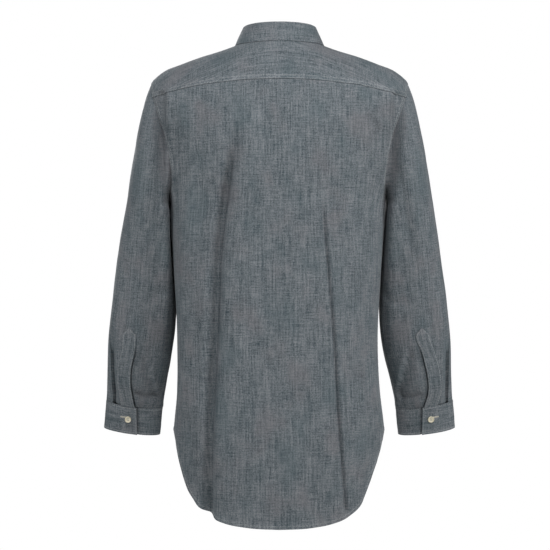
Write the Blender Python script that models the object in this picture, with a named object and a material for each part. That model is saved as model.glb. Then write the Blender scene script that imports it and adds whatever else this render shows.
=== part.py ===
"""A long-tailed chambray shirt, filled out as it is when worn: one solid for each sewn piece.

Lengths are in millimetres until a mesh is made, and angles in degrees where a name says so.
+X is the wearer's left, -Y the wearer's front and +Z up. The origin is in the middle of the
neck, level with the points where the collar meets the shoulders.

The body is one smooth surface, read from the sections in BODY. A place on it has an angle
(0 at the left side, 90 degrees at the middle of the back, -90 at the front) and a run, the
distance down the side from the neck seam. Each body panel is a patch of that surface. Each
sleeve is a tube that starts from the armhole line on the same surface, so pieces that are
sewn together share the points of their seam.
"""

import math
from collections import namedtuple

import bpy
import numpy as np

# Cloth and sewing
CLOTH = 1.4  # one layer of cloth
BAND = 2.2  # cuffs and collar, which have two layers
SEAM_GAP = 0.3  # between pieces that are sewn edge to edge
LAP_GAP = 0.5  # between a piece and what it lies on

# The body, from the neck seam down. The sections above the armpit run on past the armhole,
# where there is no cloth, so that the panels beside it stay smooth.
Section = namedtuple(
    "Section", "name half_width back front z_back z_side z_front square shift"
)
BODY = (
    Section("neck seam", 67, 60, 64, 9, 4.5, -62, 0.02, 0),
    Section("under the collar", 80, 73, 77, -7, -0.5, -78, 0.03, 0),
    Section("inner shoulder", 104, 87, 92, -27, -8.8, -99, 0.03, 0),
    Section("middle of shoulder", 136, 99, 103, -52, -18.3, -125, 0.03, 0),
    Section("outer shoulder", 172, 109, 112, -82, -31.2, -154, 0.03, 0),
    Section("shoulder bend", 202.5, 115, 118, -112, -44, -180, 0.03, 0),
    Section("shoulder end", 224, 119, 121, -142, -65, -202, 0.03, 0),
    Section("sleeve head", 223, 121, 123, -168, -100, -221, 0.03, 0.5),
    Section("middle of armhole", 209, 122, 125, -201, -152, -243, 0.03, 1),
    Section("under the arm", 197, 122, 126, -236, -208, -265, 0.03, 2),
    Section("armpit", 189, 121, 126, -275, -260, -290, 0.03, 3),
    Section("chest", 186, 120, 126, -322, -312, -330, 0.04, 3.5),
    Section("waist", 180, 118, 124, -400, -400, -400, 0.05, 3.5),
    Section("hip", 174.5, 117, 122, -520, -520, -520, 0.05, 3.3),
    Section("seat", 177, 118, 122, -605, -605, -605, 0.05, 2),
    Section("side seam end", 183.5, 120, 122, -672, -672, -672, 0.05, 1),
    Section("tail", 181, 119, 119, -750, -750, -750, 0.05, 2),
    Section("tail hem", 178, 117, 115, -830, -830, -830, 0.05, 1),
)

# Seams on the body
YOKE_SEAM_Z = -66.8  # at the middle of the back
YOKE_SEAM_DROP = 18.5  # lower by this at YOKE_SEAM_SPAN from the middle
YOKE_SEAM_SPAN = 186
YOKE_FRONT_REACH = 35  # the yoke comes this far forward of the shoulder's ridge
# How far the armhole is cut into the back and the front, and how soon from its ends (under 1
# is sooner)
Reach = namedtuple("Reach", "degrees curve")
ARMHOLE_BACK, ARMHOLE_FRONT = Reach(24.5, 0.75), Reach(29, 0.9)
ARMHOLE_TOP, ARMHOLE_FOOT = "shoulder end", "armpit"
SIDE_END_Z = -670  # where the side seam ends and the curved hem starts
PLACKET_HALF = 16  # the fronts reach this far past the middle, one over the other
NECK_LAP_DROP = 0.8  # the top layer of them starts this share of its lift below the neck seam

# The hem's curve: how far across from the middle to the side, and how far below its ends
Hem = namedtuple("Hem", "across drop")
BACK_HEM = (
    Hem(1.0, 0),
    Hem(0.972, 17),
    Hem(0.945, 42),
    Hem(0.89, 80),
    Hem(0.8, 112),
    Hem(0.665, 137),
    Hem(0.51, 149),
    Hem(0.3, 155),
    Hem(0.0, 158),
)
FRONT_HEM_SHARE = 0.6  # the front tail is this share of the back one's depth

# Folds of the body: soft troughs (depth above 0) and ridges, from a top to an end point
Fold = namedtuple("Fold", "face x_top z_top x_end z_end width depth")
BODY_FOLDS = (
    Fold("back", 84, -150, 112, -330, 17, 5.0),
    Fold("back", 112, -260, 118, -790, 19, 7.0),
    Fold("back", 140, -300, 146, -700, 20, -3.0),
    Fold("back", 58, -120, 70, -640, 30, -2.5),
    Fold("back", -96, -300, -104, -800, 17, 5.5),
    Fold("back", -74, -280, -74, -760, 22, -2.5),
    Fold("back", -150, -420, -156, -760, 14, 5.0),
    Fold("back", 140, -82, 120, -175, 12, 3.5),
    Fold("back", -142, -84, -124, -185, 13, 2.5),
    Fold("back", 203, -84, 201, -215, 8, 6.0),
    Fold("back", -204, -84, -194, -215, 8, 6.0),
    Fold("front", 70, -190, 84, -560, 22, 5.0),
    Fold("front", 130, -250, 120, -700, 20, 5.5),
    Fold("front", -66, -210, -74, -620, 22, 4.5),
    Fold("front", -128, -230, -132, -690, 20, 6.0),
    Fold("front", 150, -150, 110, -260, 14, 3.5),
    Fold("front", -150, -150, -112, -250, 14, 3.5),
)

# The left sleeve. A section is a ring between a point of its outer edge and one of its inner
# edge, at a distance forward of the side, and leans forward by some degrees. The right
# sleeve is its mirror image, with its inner edge closer in by right_in.
Ring = namedtuple(
    "Ring", "name outer_x outer_z inner_x inner_z y half_depth lean_deg square right_in"
)
SLEEVE = (
    Ring("armhole", 224, -65, 190, -260, -3, 66, 0, 0, 0),
    Ring("cap", 233.5, -90, 192, -266, -5, 69, 0, 0.02, 0),
    Ring("under the cap", 242, -122, 190, -274, -7, 71, 0, 0.04, 0),
    Ring("top of arm", 249.5, -160, 186.5, -284, -10, 72, 0, 0.06, 0),
    Ring("below the armpit", 257, -203, 182, -298, -14, 70, 1, 0.08, 0),
    Ring("upper arm", 266.5, -260, 179, -320, -18, 66, 2, 0.08, 0),
    Ring("middle of upper arm", 276, -320, 177, -356, -22, 62, 3, 0.08, 0),
    Ring("above the elbow", 285.5, -380, 176, -398, -26, 58, 4, 0.08, 1),
    Ring("elbow", 295.5, -445, 179, -450, -30, 55, 6, 0.07, 4),
    Ring("below the elbow", 301.5, -497, 184.5, -500, -34, 52, 8, 0.06, 7),
    Ring("forearm", 304, -540, 191.5, -545, -38, 48, 9, 0.04, 6),
    Ring("low forearm", 305.5, -580, 200, -586, -43, 42, 10, 0.02, 4),
    Ring("above the cuff", 306.5, -607, 205.5, -617, -47, 33, 10, 0, 2),
    Ring("cuff seam", 307.5, -621, 207, -634, -49, 26.5, 10, 0, 1.5),
)
CUFF_HEM = Ring("cuff hem", 312, -669.5, 212, -682, -56, 25.5, 10, 0, 1.5)
CUFF_HALF = (CUFF_HEM.outer_x - CUFF_HEM.inner_x) / 2
CAP_BLEND = 4.5  # how many sections down the sleeve's shape still follows the armhole's
SLEEVE_CLEAR = 3.0  # between the sleeve and the side of the body
SLEEVE_CLEAR_SLOPE = 0.12  # how fast that opens below the armpit
MITRE_LIMIT, GAP_LIMIT = 0.6, 0.18  # for the walls in the narrow corner under the arm

# Folds of a sleeve: round it in degrees (0 outside, 90 at the back), and down it by height
SleeveFold = namedtuple("SleeveFold", "deg_top z_top deg_end z_end width_deg depth")
SLEEVE_FOLDS = (
    SleeveFold(38, -515, 38, -640, 8, 6.0),
    SleeveFold(122, -520, 124, -640, 12, 4.0),
    SleeveFold(112, -150, 96, -360, 13, 4.0),
    SleeveFold(72, -130, 74, -300, 14, -2.0),
    SleeveFold(-60, -180, -84, -420, 14, 4.5),
    SleeveFold(-120, -470, -50, -500, 16, 3.0),
    SleeveFold(-40, -520, -42, -640, 9, 4.5),
)

# Cuffs and sleeve plackets
CUFF_EDGE_DEG = 99  # the free edge of the cuff, which lies on top
CUFF_OVERLAP = 24
CUFF_BUTTON_IN, CUFF_BUTTON_SHARE = 14, 0.47  # from the free edge, and down the cuff
CUFF_OUT = 1.5  # its free edge stands out from the sleeve by this
PLACKET_WIDTH = 25
PLACKET_TOP_Z = -492
PLACKET_POINT = 11  # height of its pointed end
PLACKET_EDGE_DEG = (85, -23.5, 32.5)  # its free edge at the top, then by share and share^2

# Collar
STAND_TOP = Section("stand top", 60, 50, 55, 32.5, 29.5, -31, 0.02, 0)
STAND_END = 15  # the stand's ends reach this far past the middle
STAND_LAP_EASE = 1.9  # they part, one over the other, from this many times PLACKET_HALF in
ROLL_RADIUS, ROLL_DEG, ROLL_LIFT = 2.9, 150, 1.2  # the collar's fold over the stand
LEAF_BULGE, LEAF_LIFT = 0.6, 0.4  # how far the leaf rounds out, and its edge stands off
Leaf = namedtuple("Leaf", "name fold_deg edge_deg edge_run")
COLLAR_FALL = (
    Leaf("middle of back", 90, 90, 5),
    Leaf("back", 45, 45, 8),
    Leaf("side", 0, 0, 11.5),
    Leaf("front of shoulder", -32, -29, 16),
    Leaf("front", -57, -45, 31),
    Leaf("near the point", -73, -55, 50),
    Leaf("point", -82, -61, 67),
)

# Buttons
BUTTON_RADIUS, BUTTON_RIM, BUTTON_DISH = 5.7, 2.4, 1.7
BUTTON_SIDES = 12
FRONT_BUTTONS = 7
FRONT_BUTTON_TOP, FRONT_BUTTON_STEP = -102, 83

# How finely each stretch is divided
YOKE_SEAM_PARTS, YOKE_ROWS = 26, 5
CUFF_PARTS, PLACKET_PARTS = 26, 6
ARM_OVER_RIDGE, ARM_DOWN = 3, 9  # on each side of the shoulder's ridge, and below the yoke
SIDE_PARTS = 12
BACK_SEAM_FADE = 3  # how soon the back's rows lose the slope of the yoke seam
NECKLINE_PARTS, BAND_PARTS = 8, 2
FALL_HALF_PARTS, ROLL_ROWS, LEAF_ROWS = 16, 3, 3
SLEEVE_ROWS = 17


class SmoothTable:
    """Reads the rows of a table at any place between them, along smooth curves."""

    def __init__(self, places, rows):
        self.places = np.array(places, float)
        self.rows = np.array(rows, float)
        step = np.diff(self.places)[:, None]
        slope = np.diff(self.rows, axis=0) / step
        middle = slope[:-1] * step[1:] + slope[1:] * step[:-1]
        self.slopes = np.vstack([slope[:1], middle / (step[:-1] + step[1:]), slope[-1:]])

    def at(self, place):
        place = np.asarray(place, float)
        i = np.searchsorted(self.places, place, side="right") - 1
        i = np.clip(i, 0, len(self.places) - 2)
        step = (self.places[i + 1] - self.places[i])[..., None]
        t = (place - self.places[i])[..., None] / step
        from_a = (1 + 2 * t) * (1 - t) ** 2
        slope_a = t * (1 - t) ** 2 * step
        slope_b = t * t * (t - 1) * step
        bent = slope_a * self.slopes[i] + slope_b * self.slopes[i + 1]
        return from_a * self.rows[i] + (1 - from_a) * self.rows[i + 1] + bent


def path_lengths(points):
    return np.concatenate([[0], np.cumsum(np.linalg.norm(np.diff(points, axis=0), axis=1))])


BODY_RUNS = path_lengths(np.array([(s.half_width, s.z_side) for s in BODY], float))
BODY_TABLE = SmoothTable(BODY_RUNS, [s[1:] for s in BODY])
RUN_OF = {s.name: run for s, run in zip(BODY, BODY_RUNS)}
ARMPIT_Z = next(s.z_side for s in BODY if s.name == ARMHOLE_FOOT)
HEM_TABLE = SmoothTable([h.across for h in BACK_HEM][::-1], [[h.drop] for h in BACK_HEM][::-1])
SLEEVE_TABLE = SmoothTable(range(len(SLEEVE)), [r[1:] for r in SLEEVE])
FALL_TABLE = SmoothTable(np.linspace(0, 1, len(COLLAR_FALL)), [f[1:] for f in COLLAR_FALL])


def smooth_step(x):
    x = np.clip(x, 0, 1)
    return x * x * (3 - 2 * x)


def squared_ring(angle, square):
    """(across, deep) of a ring that is boxier than an ellipse where square is above 0."""
    across = (np.cos(angle) - square * np.cos(3 * angle)) / (1 - square)
    deep = (np.sin(angle) + square * np.sin(3 * angle)) / (1 - square)
    return across, deep


def ring_points(angle, columns):
    """Points at these angles on the rings whose sizes are columns, in BODY's order."""
    half, back, front, z_back, z_side, z_front, square, shift = np.moveaxis(columns, -1, 0)
    across, deep = squared_ring(angle, square)
    behind = np.sin(angle) > 0
    z_end = np.where(behind, z_back, z_front)
    y = np.where(behind, back, front) * deep
    return np.stack([half * across + shift, y, z_side + (z_end - z_side) * deep**2], axis=-1)


def smooth_body(angle, run):
    return ring_points(angle, BODY_TABLE.at(run))


def normals_of(surface, first, second, step=0.002, stride=1.0):
    """Outward normals of surface(first, second) by small steps."""
    a = surface(first + step, second) - surface(first - step, second)
    b = surface(first, second - stride) - surface(first, second + stride)
    n = np.cross(a, b)
    return n / np.linalg.norm(n, axis=-1, keepdims=True)


def along_fold(x, z, fold):
    """1 on the line of a fold, fading to 0 beside it and past its ends."""
    start, end = np.array(fold[:2], float), np.array(fold[2:4], float)
    line = end - start
    offset = np.stack([x - start[0], z - start[1]], axis=-1)
    share = offset @ line / (line @ line)
    beside = (offset @ np.array([-line[1], line[0]])) / np.linalg.norm(line)
    ends = smooth_step(np.minimum(share, 1 - share) * 4 + 0.15)
    return np.exp(-((beside / fold[4]) ** 2)) * ends


def skin(angle, run):
    """Points of the body with its folds, which fade out at the sides and the neck."""
    points = smooth_body(angle, run)
    depth = np.zeros(points.shape[:-1])
    for fold in BODY_FOLDS:
        facing = np.sin(angle) if fold.face == "back" else -np.sin(angle)
        line = along_fold(points[..., 0], points[..., 2], fold[1:])
        depth += line * fold.depth * smooth_step(facing * 3)
    return points - normals_of(smooth_body, angle, run) * depth[..., None]


def solve(function, low, high):
    """Where a function that falls from low to high crosses 0, for each element."""
    low, high = np.array(low, float), np.array(high, float)
    for _ in range(40):
        middle = (low + high) / 2
        above = function(middle) > 0
        low, high = np.where(above, middle, low), np.where(above, high, middle)
    return (low + high) / 2


def run_at_height(angle, z):
    angle, z = np.broadcast_arrays(np.asarray(angle, float), np.asarray(z, float))
    zero = np.zeros(angle.shape)
    return solve(lambda run: smooth_body(angle, run)[..., 2] - z, zero, zero + BODY_RUNS[-1])


def front_angle(x, run):
    """The angle near the middle of the front at which the body is x from the middle."""
    row = BODY_TABLE.at(run)
    square = row[..., 6]
    return -math.pi / 2 + x / row[..., 0] * (1 - square) / (1 + 3 * square)


# ---- seam lines, each as angles and runs on the left half of the body ----


def armhole(turn, face):
    """The armhole at turn 0 at the shoulder's ridge to pi in the armpit, face +1 back, -1 front."""
    reach = ARMHOLE_BACK if face > 0 else ARMHOLE_FRONT
    top, foot = RUN_OF[ARMHOLE_TOP], RUN_OF[ARMHOLE_FOOT]
    run = top + (foot - top) * (1 - np.cos(turn)) / 2
    cut = np.maximum(np.sin(turn), 0) ** reach.curve
    return face * math.radians(reach.degrees) * cut, run


def yoke_seam_z(x):
    return YOKE_SEAM_Z - YOKE_SEAM_DROP * (x / YOKE_SEAM_SPAN) ** 2


def armhole_turns():
    """The turns at which the back and the front seam of the yoke meet the armhole."""

    def above_seam(turn):
        point = smooth_body(*armhole(turn, 1))
        return point[..., 2] - yoke_seam_z(point[..., 0])

    def short_of_reach(turn):
        return smooth_body(*armhole(turn, -1))[..., 1] + YOKE_FRONT_REACH

    return float(solve(above_seam, 0.0, 1.5)), float(solve(short_of_reach, 0.0, 1.5))


TURN_BACK, TURN_FRONT = armhole_turns()


def join(*stretches):
    """Stretches of a seam as one, where each starts at the last one's end."""
    kept = [stretches[0]] + [(a[1:], r[1:]) for a, r in stretches[1:]]
    return np.concatenate([a for a, _ in kept]), np.concatenate([r for _, r in kept])


def arm_edge(face, start, end, parts):
    return armhole(np.linspace(start, end, parts + 1), face)


def side_edge():
    z = np.linspace(ARMPIT_Z, SIDE_END_Z, SIDE_PARTS + 1)
    angle = np.zeros(SIDE_PARTS + 1)
    return angle, run_at_height(angle, z)


def yoke_seam():
    """The yoke's back seam, from the left armhole to the right one."""
    corner = armhole(TURN_BACK, 1)[0]
    angle = np.linspace(corner, math.pi - corner, YOKE_SEAM_PARTS + 1)

    def above_seam(run):
        point = smooth_body(angle, run)
        return point[..., 2] - yoke_seam_z(point[..., 0])

    zero = np.zeros(angle.shape)
    return angle, solve(above_seam, zero, zero + RUN_OF[ARMHOLE_FOOT])


def shoulder_seam():
    """The yoke's front seam, from the neck out to the armhole."""
    end_run = armhole(TURN_FRONT, -1)[1]
    run = np.linspace(0, end_run, YOKE_ROWS + 1)

    def behind_seam(down):
        return smooth_body(-down, run)[..., 1] + YOKE_FRONT_REACH

    zero = np.zeros(run.shape)
    return -solve(behind_seam, zero, zero + math.pi / 2), run


def patch(top, bottom, left, right, fade=1):
    """Angles and runs of a grid between four edges. top and bottom run from left to right.

    The top edge's shape dies out down the grid, and does so sooner with a higher fade.
    """
    u = np.linspace(0, 1, len(top[0]))[None, :]
    v = np.linspace(0, 1, len(left[0]))[:, None]
    made = []
    for t, b, l, r in zip(top, bottom, left, right):
        between = (1 - u) * l[:, None] + u * r[:, None]
        from_top = t[None] - (1 - u) * t[0] - u * t[-1]
        from_bottom = b[None] - (1 - u) * b[0] - u * b[-1]
        made.append(between + (1 - v) ** fade * from_top + v * from_bottom)
    return made


def hem(angles, share):
    """The curved hem at these angles, share 1 for the back tail's depth."""
    across = np.abs(squared_ring(angles, BODY[-1].square)[0])
    return angles, run_at_height(angles, SIDE_END_Z - HEM_TABLE.at(across)[..., 0] * share)


# ---- meshes ----


def mesh_object(name, points, faces, colour, roughness):
    mesh = bpy.data.meshes.new(name)
    mesh.from_pydata((np.asarray(points) / 1000).tolist(), [], faces)
    mesh.update()
    mesh.shade_smooth()
    mesh.set_sharp_from_angle(angle=math.radians(40))
    mesh.materials.append(finish(name, colour, roughness))
    made = bpy.data.objects.new(name, mesh)
    bpy.context.scene.collection.objects.link(made)
    return made


def finish(name, colour, roughness):
    material = bpy.data.materials.new(name)
    material.use_nodes = True
    shader = material.node_tree.nodes["Principled BSDF"]
    shader.inputs["Base Color"].default_value = (*colour, 1)
    shader.inputs["Roughness"].default_value = roughness
    shader.inputs["Metallic"].default_value = 0
    return material


CHAMBRAY, CHAMBRAY_ROUGH = (0.155, 0.175, 0.19), 0.9
IVORY, IVORY_ROUGH = (0.62, 0.56, 0.44), 0.35


def grid_normals(points, closed):
    """Normals of a grid of points, rows first, closed round where the columns meet."""
    if closed:
        across = np.roll(points, -1, axis=1) - np.roll(points, 1, axis=1)
    else:
        across = np.gradient(points, axis=1)
    n = np.cross(across, -np.gradient(points, axis=0))
    return n / np.linalg.norm(n, axis=-1, keepdims=True)


def inset(points, closed, gaps):
    """The grid with its edges drawn in by gaps, so that pieces on a seam stay apart."""
    moved = points.copy()
    for edge, inner in ((0, 1), (-1, -2)):
        step = points[inner] - points[edge]
        share = gaps[edge] / np.linalg.norm(step, axis=-1)
        moved[edge] += step * share[:, None]
        if not closed:
            step = points[:, inner] - points[:, edge]
            share = gaps[:, edge] / np.linalg.norm(step, axis=-1)
            moved[:, edge] += step * share[:, None]
    return moved


def wall(name, outer, through, closed=False, gaps=None):
    """A piece of cloth as a solid, from its outer face and the steps to its inner face."""
    if gaps is None:
        gaps = np.full(outer.shape[:2], SEAM_GAP / 2)
    inner = inset(outer - through, closed, gaps)
    outer = inset(outer, closed, gaps)
    rows, columns = outer.shape[:2]
    points = np.concatenate([outer.reshape(-1, 3), inner.reshape(-1, 3)])
    under = rows * columns

    def at(row, column):
        return row * columns + column % columns

    faces = []
    for row in range(rows - 1):
        for column in range(columns if closed else columns - 1):
            a, b = at(row, column), at(row, column + 1)
            c, d = at(row + 1, column + 1), at(row + 1, column)
            faces += [(a, d, c, b), (a + under, b + under, c + under, d + under)]
    across = range(columns if closed else columns - 1)
    rim = [(at(0, c), at(0, c + 1)) for c in across]
    rim += [(at(rows - 1, c + 1), at(rows - 1, c)) for c in across]
    if not closed:
        rim += [(at(r + 1, 0), at(r, 0)) for r in range(rows - 1)]
        rim += [(at(r, columns - 1), at(r + 1, columns - 1)) for r in range(rows - 1)]
    faces += [(a, b, b + under, a + under) for a, b in rim]
    return mesh_object(name, points, faces, CHAMBRAY, CHAMBRAY_ROUGH)


# ---- sleeves ----


def ring_of_sleeve(angle, columns, side):
    """Points round a sleeve's rings. side is 1 for the wearer's left and -1 for the right."""
    outer_x, outer_z, inner_x, inner_z, y, depth, lean, square, right_in = np.moveaxis(
        columns, -1, 0
    )
    if side < 0:
        inner_x = inner_x - right_in
    middle = np.stack([(outer_x + inner_x) / 2, y, (outer_z + inner_z) / 2], axis=-1)
    half = np.stack([(outer_x - inner_x) / 2, 0 * y, (outer_z - inner_z) / 2], axis=-1)
    tip = np.radians(lean)
    deep = np.stack([0 * y, depth * np.cos(tip), -depth * np.sin(tip)], axis=-1)
    across, behind = squared_ring(angle, square)
    points = middle + across[..., None] * half + behind[..., None] * deep
    return points * [side, 1, 1]


def armhole_line(side):
    """The whole armhole's angles and runs, from the shoulder's ridge round by the back."""
    angle, run = join(
        arm_edge(1, 0, TURN_BACK, ARM_OVER_RIDGE),
        arm_edge(1, TURN_BACK, math.pi, ARM_DOWN),
        arm_edge(-1, math.pi, TURN_FRONT, ARM_DOWN),
        arm_edge(-1, TURN_FRONT, 0, ARM_OVER_RIDGE),
    )
    return (angle if side > 0 else math.pi - angle)[:-1], run[:-1]


def sleeve_turns():
    """Angles round a sleeve, one for each point of the armhole line."""
    behind = [
        np.linspace(0, TURN_BACK, ARM_OVER_RIDGE + 1)[:-1],
        np.linspace(TURN_BACK, math.pi, ARM_DOWN + 1)[:-1],
    ]
    before = [
        np.linspace(math.pi, TURN_FRONT, ARM_DOWN + 1)[:-1],
        np.linspace(TURN_FRONT, 0, ARM_OVER_RIDGE + 1)[:-1],
    ]
    return np.concatenate(behind + [2 * math.pi - turn for turn in before])


# How a seam is made at each point of an armhole: the step through both walls there, which is
# longer where they meet at an angle, and how far each wall stops short of the seam.
Seam = namedtuple("Seam", "through gap")


def armhole_seam(grid, side):
    """The seam between a sleeve and the body at each of the sleeve's first points."""
    loop = grid[0]
    angle, run = armhole_line(side)
    of_body = normals_of(skin, angle, run)
    of_sleeve = (grid_normals(grid, True) * side)[0]
    along = np.roll(loop, -1, axis=0) - np.roll(loop, 1, axis=0)
    both = of_body + of_sleeve
    both /= np.linalg.norm(both, axis=-1, keepdims=True)
    to_body = np.cross(of_body, along) * side
    to_body /= np.linalg.norm(to_body, axis=-1, keepdims=True)
    down = grid[1] - loop
    down /= np.linalg.norm(down, axis=-1, keepdims=True)
    opening = np.sqrt((1 - np.sum(down * to_body, axis=-1)) / 2)
    through = both * (CLOTH / np.maximum(opening, MITRE_LIMIT))[:, None]
    return Seam(through, SEAM_GAP / 2 / np.maximum(opening, GAP_LIMIT))


def clear_of_body(points, side):
    """Moves a sleeve's points out where they would touch the side of the body."""
    x, y, z = np.moveaxis(points, -1, 0)
    row = BODY_TABLE.at(run_at_height(np.zeros(z.shape), np.minimum(z, ARMPIT_Z)))
    depth = np.where(y > 0, row[..., 1], row[..., 2])
    angle = np.arcsin(np.clip(y / depth, -0.95, 0.95))
    body_x = row[..., 0] * squared_ring(angle, row[..., 6])[0] + side * row[..., 7]
    below = np.maximum(ARMPIT_Z - z, 0)
    limit = body_x + np.minimum(SLEEVE_CLEAR, SEAM_GAP + SLEEVE_CLEAR_SLOPE * below)
    soft = np.minimum(5.0, 0.3 * below) + 0.01
    over = x * side - limit
    pushed = limit + (over + np.sqrt(over**2 + soft**2)) / 2
    x = np.where(below > 0, pushed * side, x)
    return np.stack([x, y, z], axis=-1)


def sleeve_points(turns, places, side):
    """A sleeve's points on a grid of turns round it and places in SLEEVE, 0 at the armhole."""
    place, turn = np.meshgrid(places, turns, indexing="ij")
    points = ring_of_sleeve(turn, SLEEVE_TABLE.at(place), side)
    start = ring_of_sleeve(turns, SLEEVE_TABLE.at(0 * turns), side)
    loop = skin(*armhole_line(side))
    fade = (1 - smooth_step(place / CAP_BLEND)) ** 1.2
    points = points + fade[..., None] * (loop - start)
    degrees = (np.degrees(turn) + 180) % 360 - 180
    depth = sum(along_fold(degrees, points[..., 2], f) * f.depth for f in SLEEVE_FOLDS)
    depth = depth * smooth_step((place - 0.5) / 2)
    points = points - grid_normals(points, True) * side * depth[..., None]
    return clear_of_body(points, side)


def sleeve(name, grid, side, seam):
    through = grid_normals(grid, True) * side * CLOTH
    through[0] = seam.through
    gaps = np.full(grid.shape[:2], SEAM_GAP / 2)
    gaps[0] = seam.gap
    if side < 0:
        grid, through, gaps = grid[:, ::-1], through[:, ::-1], gaps[:, ::-1]
    return wall(name, grid, through, True, gaps)


def cuff_ring(angle, share, side, out):
    """Points of the cuff, share 0 at its seam to 1 at its hem, moved out."""
    top, foot = np.array(SLEEVE[-1][1:], float), np.array(CUFF_HEM[1:], float)
    columns = top + (foot - top) * np.asarray(share)[..., None]
    points = ring_of_sleeve(angle, columns, side)
    middle = ring_of_sleeve(angle + math.pi, columns, side)
    away = points - middle
    return points + away / np.linalg.norm(away, axis=-1, keepdims=True) * np.asarray(out)[..., None]


def cuff_angles():
    """The cuff's angles, from its free edge round to the end that lies under it."""
    whole = math.radians(CUFF_EDGE_DEG) - np.linspace(0, 2 * math.pi, CUFF_PARTS + 1)
    return np.concatenate([whole, whole[-1] - CUFF_OVERLAP / CUFF_HALF * np.array([0.5, 1.0])])


def cuff(name, side):
    angles = cuff_angles()
    lap = BAND + LAP_GAP
    out = CUFF_OUT - lap * np.clip((angles[0] - angles) / (2 * math.pi), 0, 1)
    share, angle = np.meshgrid([0, 0.5, 1], angles, indexing="ij")
    grid = cuff_ring(angle, share, side, np.broadcast_to(out, angle.shape))
    if side > 0:
        grid = grid[:, ::-1]
    return wall(name, grid, grid_normals(grid, False) * BAND)


def placket_surface(share, across, side):
    """Points and normals of the sleeve under the strip that covers its slit.

    share goes from 0 at its point to 1 at the cuff, and across from 0 at its free edge to 1.
    """
    first, linear, bent = PLACKET_EDGE_DEG
    end = len(SLEEVE) - 1
    fine = np.linspace(end / 2, end, 300)
    down = ring_of_sleeve(np.full(fine.shape, math.radians(first)), SLEEVE_TABLE.at(fine), 1)
    length = PLACKET_TOP_Z - down[-1, 2]
    place = np.interp(share, (PLACKET_TOP_Z - down[:, 2]) / length, fine)
    edge = np.radians(first + linear * share + bent * share**2)
    speed = ring_of_sleeve(edge, SLEEVE_TABLE.at(place), 1)
    speed = speed - ring_of_sleeve(edge - 0.05, SLEEVE_TABLE.at(place), 1)
    width = PLACKET_WIDTH * 0.05 / np.linalg.norm(speed, axis=-1)
    narrow = np.interp(share, [0, PLACKET_POINT / length], [0.1, 1])
    turn = edge - width * (0.5 + (across - 0.5) * narrow)
    spots = [(turn, place), (turn + 0.02, place), (turn, place - 0.05)]
    points, beside, above = (ring_of_sleeve(t, SLEEVE_TABLE.at(p), side) for t, p in spots)
    normal = np.cross(beside - points, above - points) * side
    return points, normal / np.linalg.norm(normal, axis=-1, keepdims=True)


def placket(name, side):
    point = PLACKET_POINT / (PLACKET_TOP_Z - SLEEVE[-1].outer_z)
    shares = np.concatenate([[0, point / 2], np.linspace(point, 0.998, PLACKET_PARTS + 1)])
    share, across = np.meshgrid(shares, np.linspace(0, 1, 5), indexing="ij")
    points, normals = placket_surface(share, across, side)
    if side > 0:
        points, normals = points[:, ::-1], normals[:, ::-1]
    return wall(name, points + normals * (CLOTH + LAP_GAP), normals * CLOTH)


# ---- body panels ----


def mirrored(edge):
    angle, run = edge
    return math.pi - angle, run


def panel(name, angle, run, seams, out=None):
    """A body panel from its angles and runs, with the seams of its armhole edges."""
    points = skin(angle, run)
    normals = normals_of(skin, angle, run)
    if out is not None:
        points = points + normals * out[..., None]
    through = normals * CLOTH
    gaps = np.full(angle.shape, SEAM_GAP / 2)
    for place, seam in seams:
        through[place], gaps[place] = seam.through, seam.gap
    faced = np.cross(points[0, 1] - points[0, 0], points[0, 0] - points[1, 0])
    if faced @ normals[0, 0] < 0:
        points, through, gaps = points[:, ::-1], through[:, ::-1], gaps[:, ::-1]
    return wall(name, points, through, False, gaps)


def part_of(seam, start, stop):
    """The seam's points from start up to stop, which may be below 0 to begin before the ridge."""
    which = np.arange(start, stop) % len(seam.gap)
    return Seam(seam.through[which], seam.gap[which])


def back(seams):
    left = join(arm_edge(1, TURN_BACK, math.pi, ARM_DOWN), side_edge())
    bottom = hem(np.linspace(0, math.pi, YOKE_SEAM_PARTS + 1), 1)
    angle, run = patch(yoke_seam(), bottom, left, mirrored(left), BACK_SEAM_FADE)
    rows = slice(0, ARM_DOWN + 1)
    first, last = (part_of(seams[s], ARM_OVER_RIDGE, ARM_OVER_RIDGE + ARM_DOWN + 1) for s in (1, -1))
    return panel("back", angle, run, [((rows, 0), first), ((rows, -1), last)])


def neck_points():
    """Angles round the neck seam: the left front from the middle, the yoke, the right front."""
    corner = shoulder_seam()[0][0]
    return corner, math.pi - corner


def yoke(seams):
    front_seam = shoulder_seam()
    corner, far = neck_points()
    shoulder = join(
        arm_edge(-1, TURN_FRONT, 0, ARM_OVER_RIDGE), arm_edge(1, 0, TURN_BACK, ARM_OVER_RIDGE)
    )
    other = mirrored((shoulder[0][::-1], shoulder[1][::-1]))
    outer = join(shoulder, yoke_seam(), other)
    around = np.linspace(corner, far, len(outer[0]))
    angle, run = patch((around, 0 * around), outer, front_seam, mirrored(front_seam))
    count = 2 * ARM_OVER_RIDGE + 1
    first, last = (part_of(seams[s], -ARM_OVER_RIDGE, ARM_OVER_RIDGE + 1) for s in (1, -1))
    last = Seam(last.through[::-1], last.gap[::-1])
    edges = [((-1, slice(0, count)), first), ((-1, slice(-count, None)), last)]
    return panel("yoke", angle, run, edges)


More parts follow.
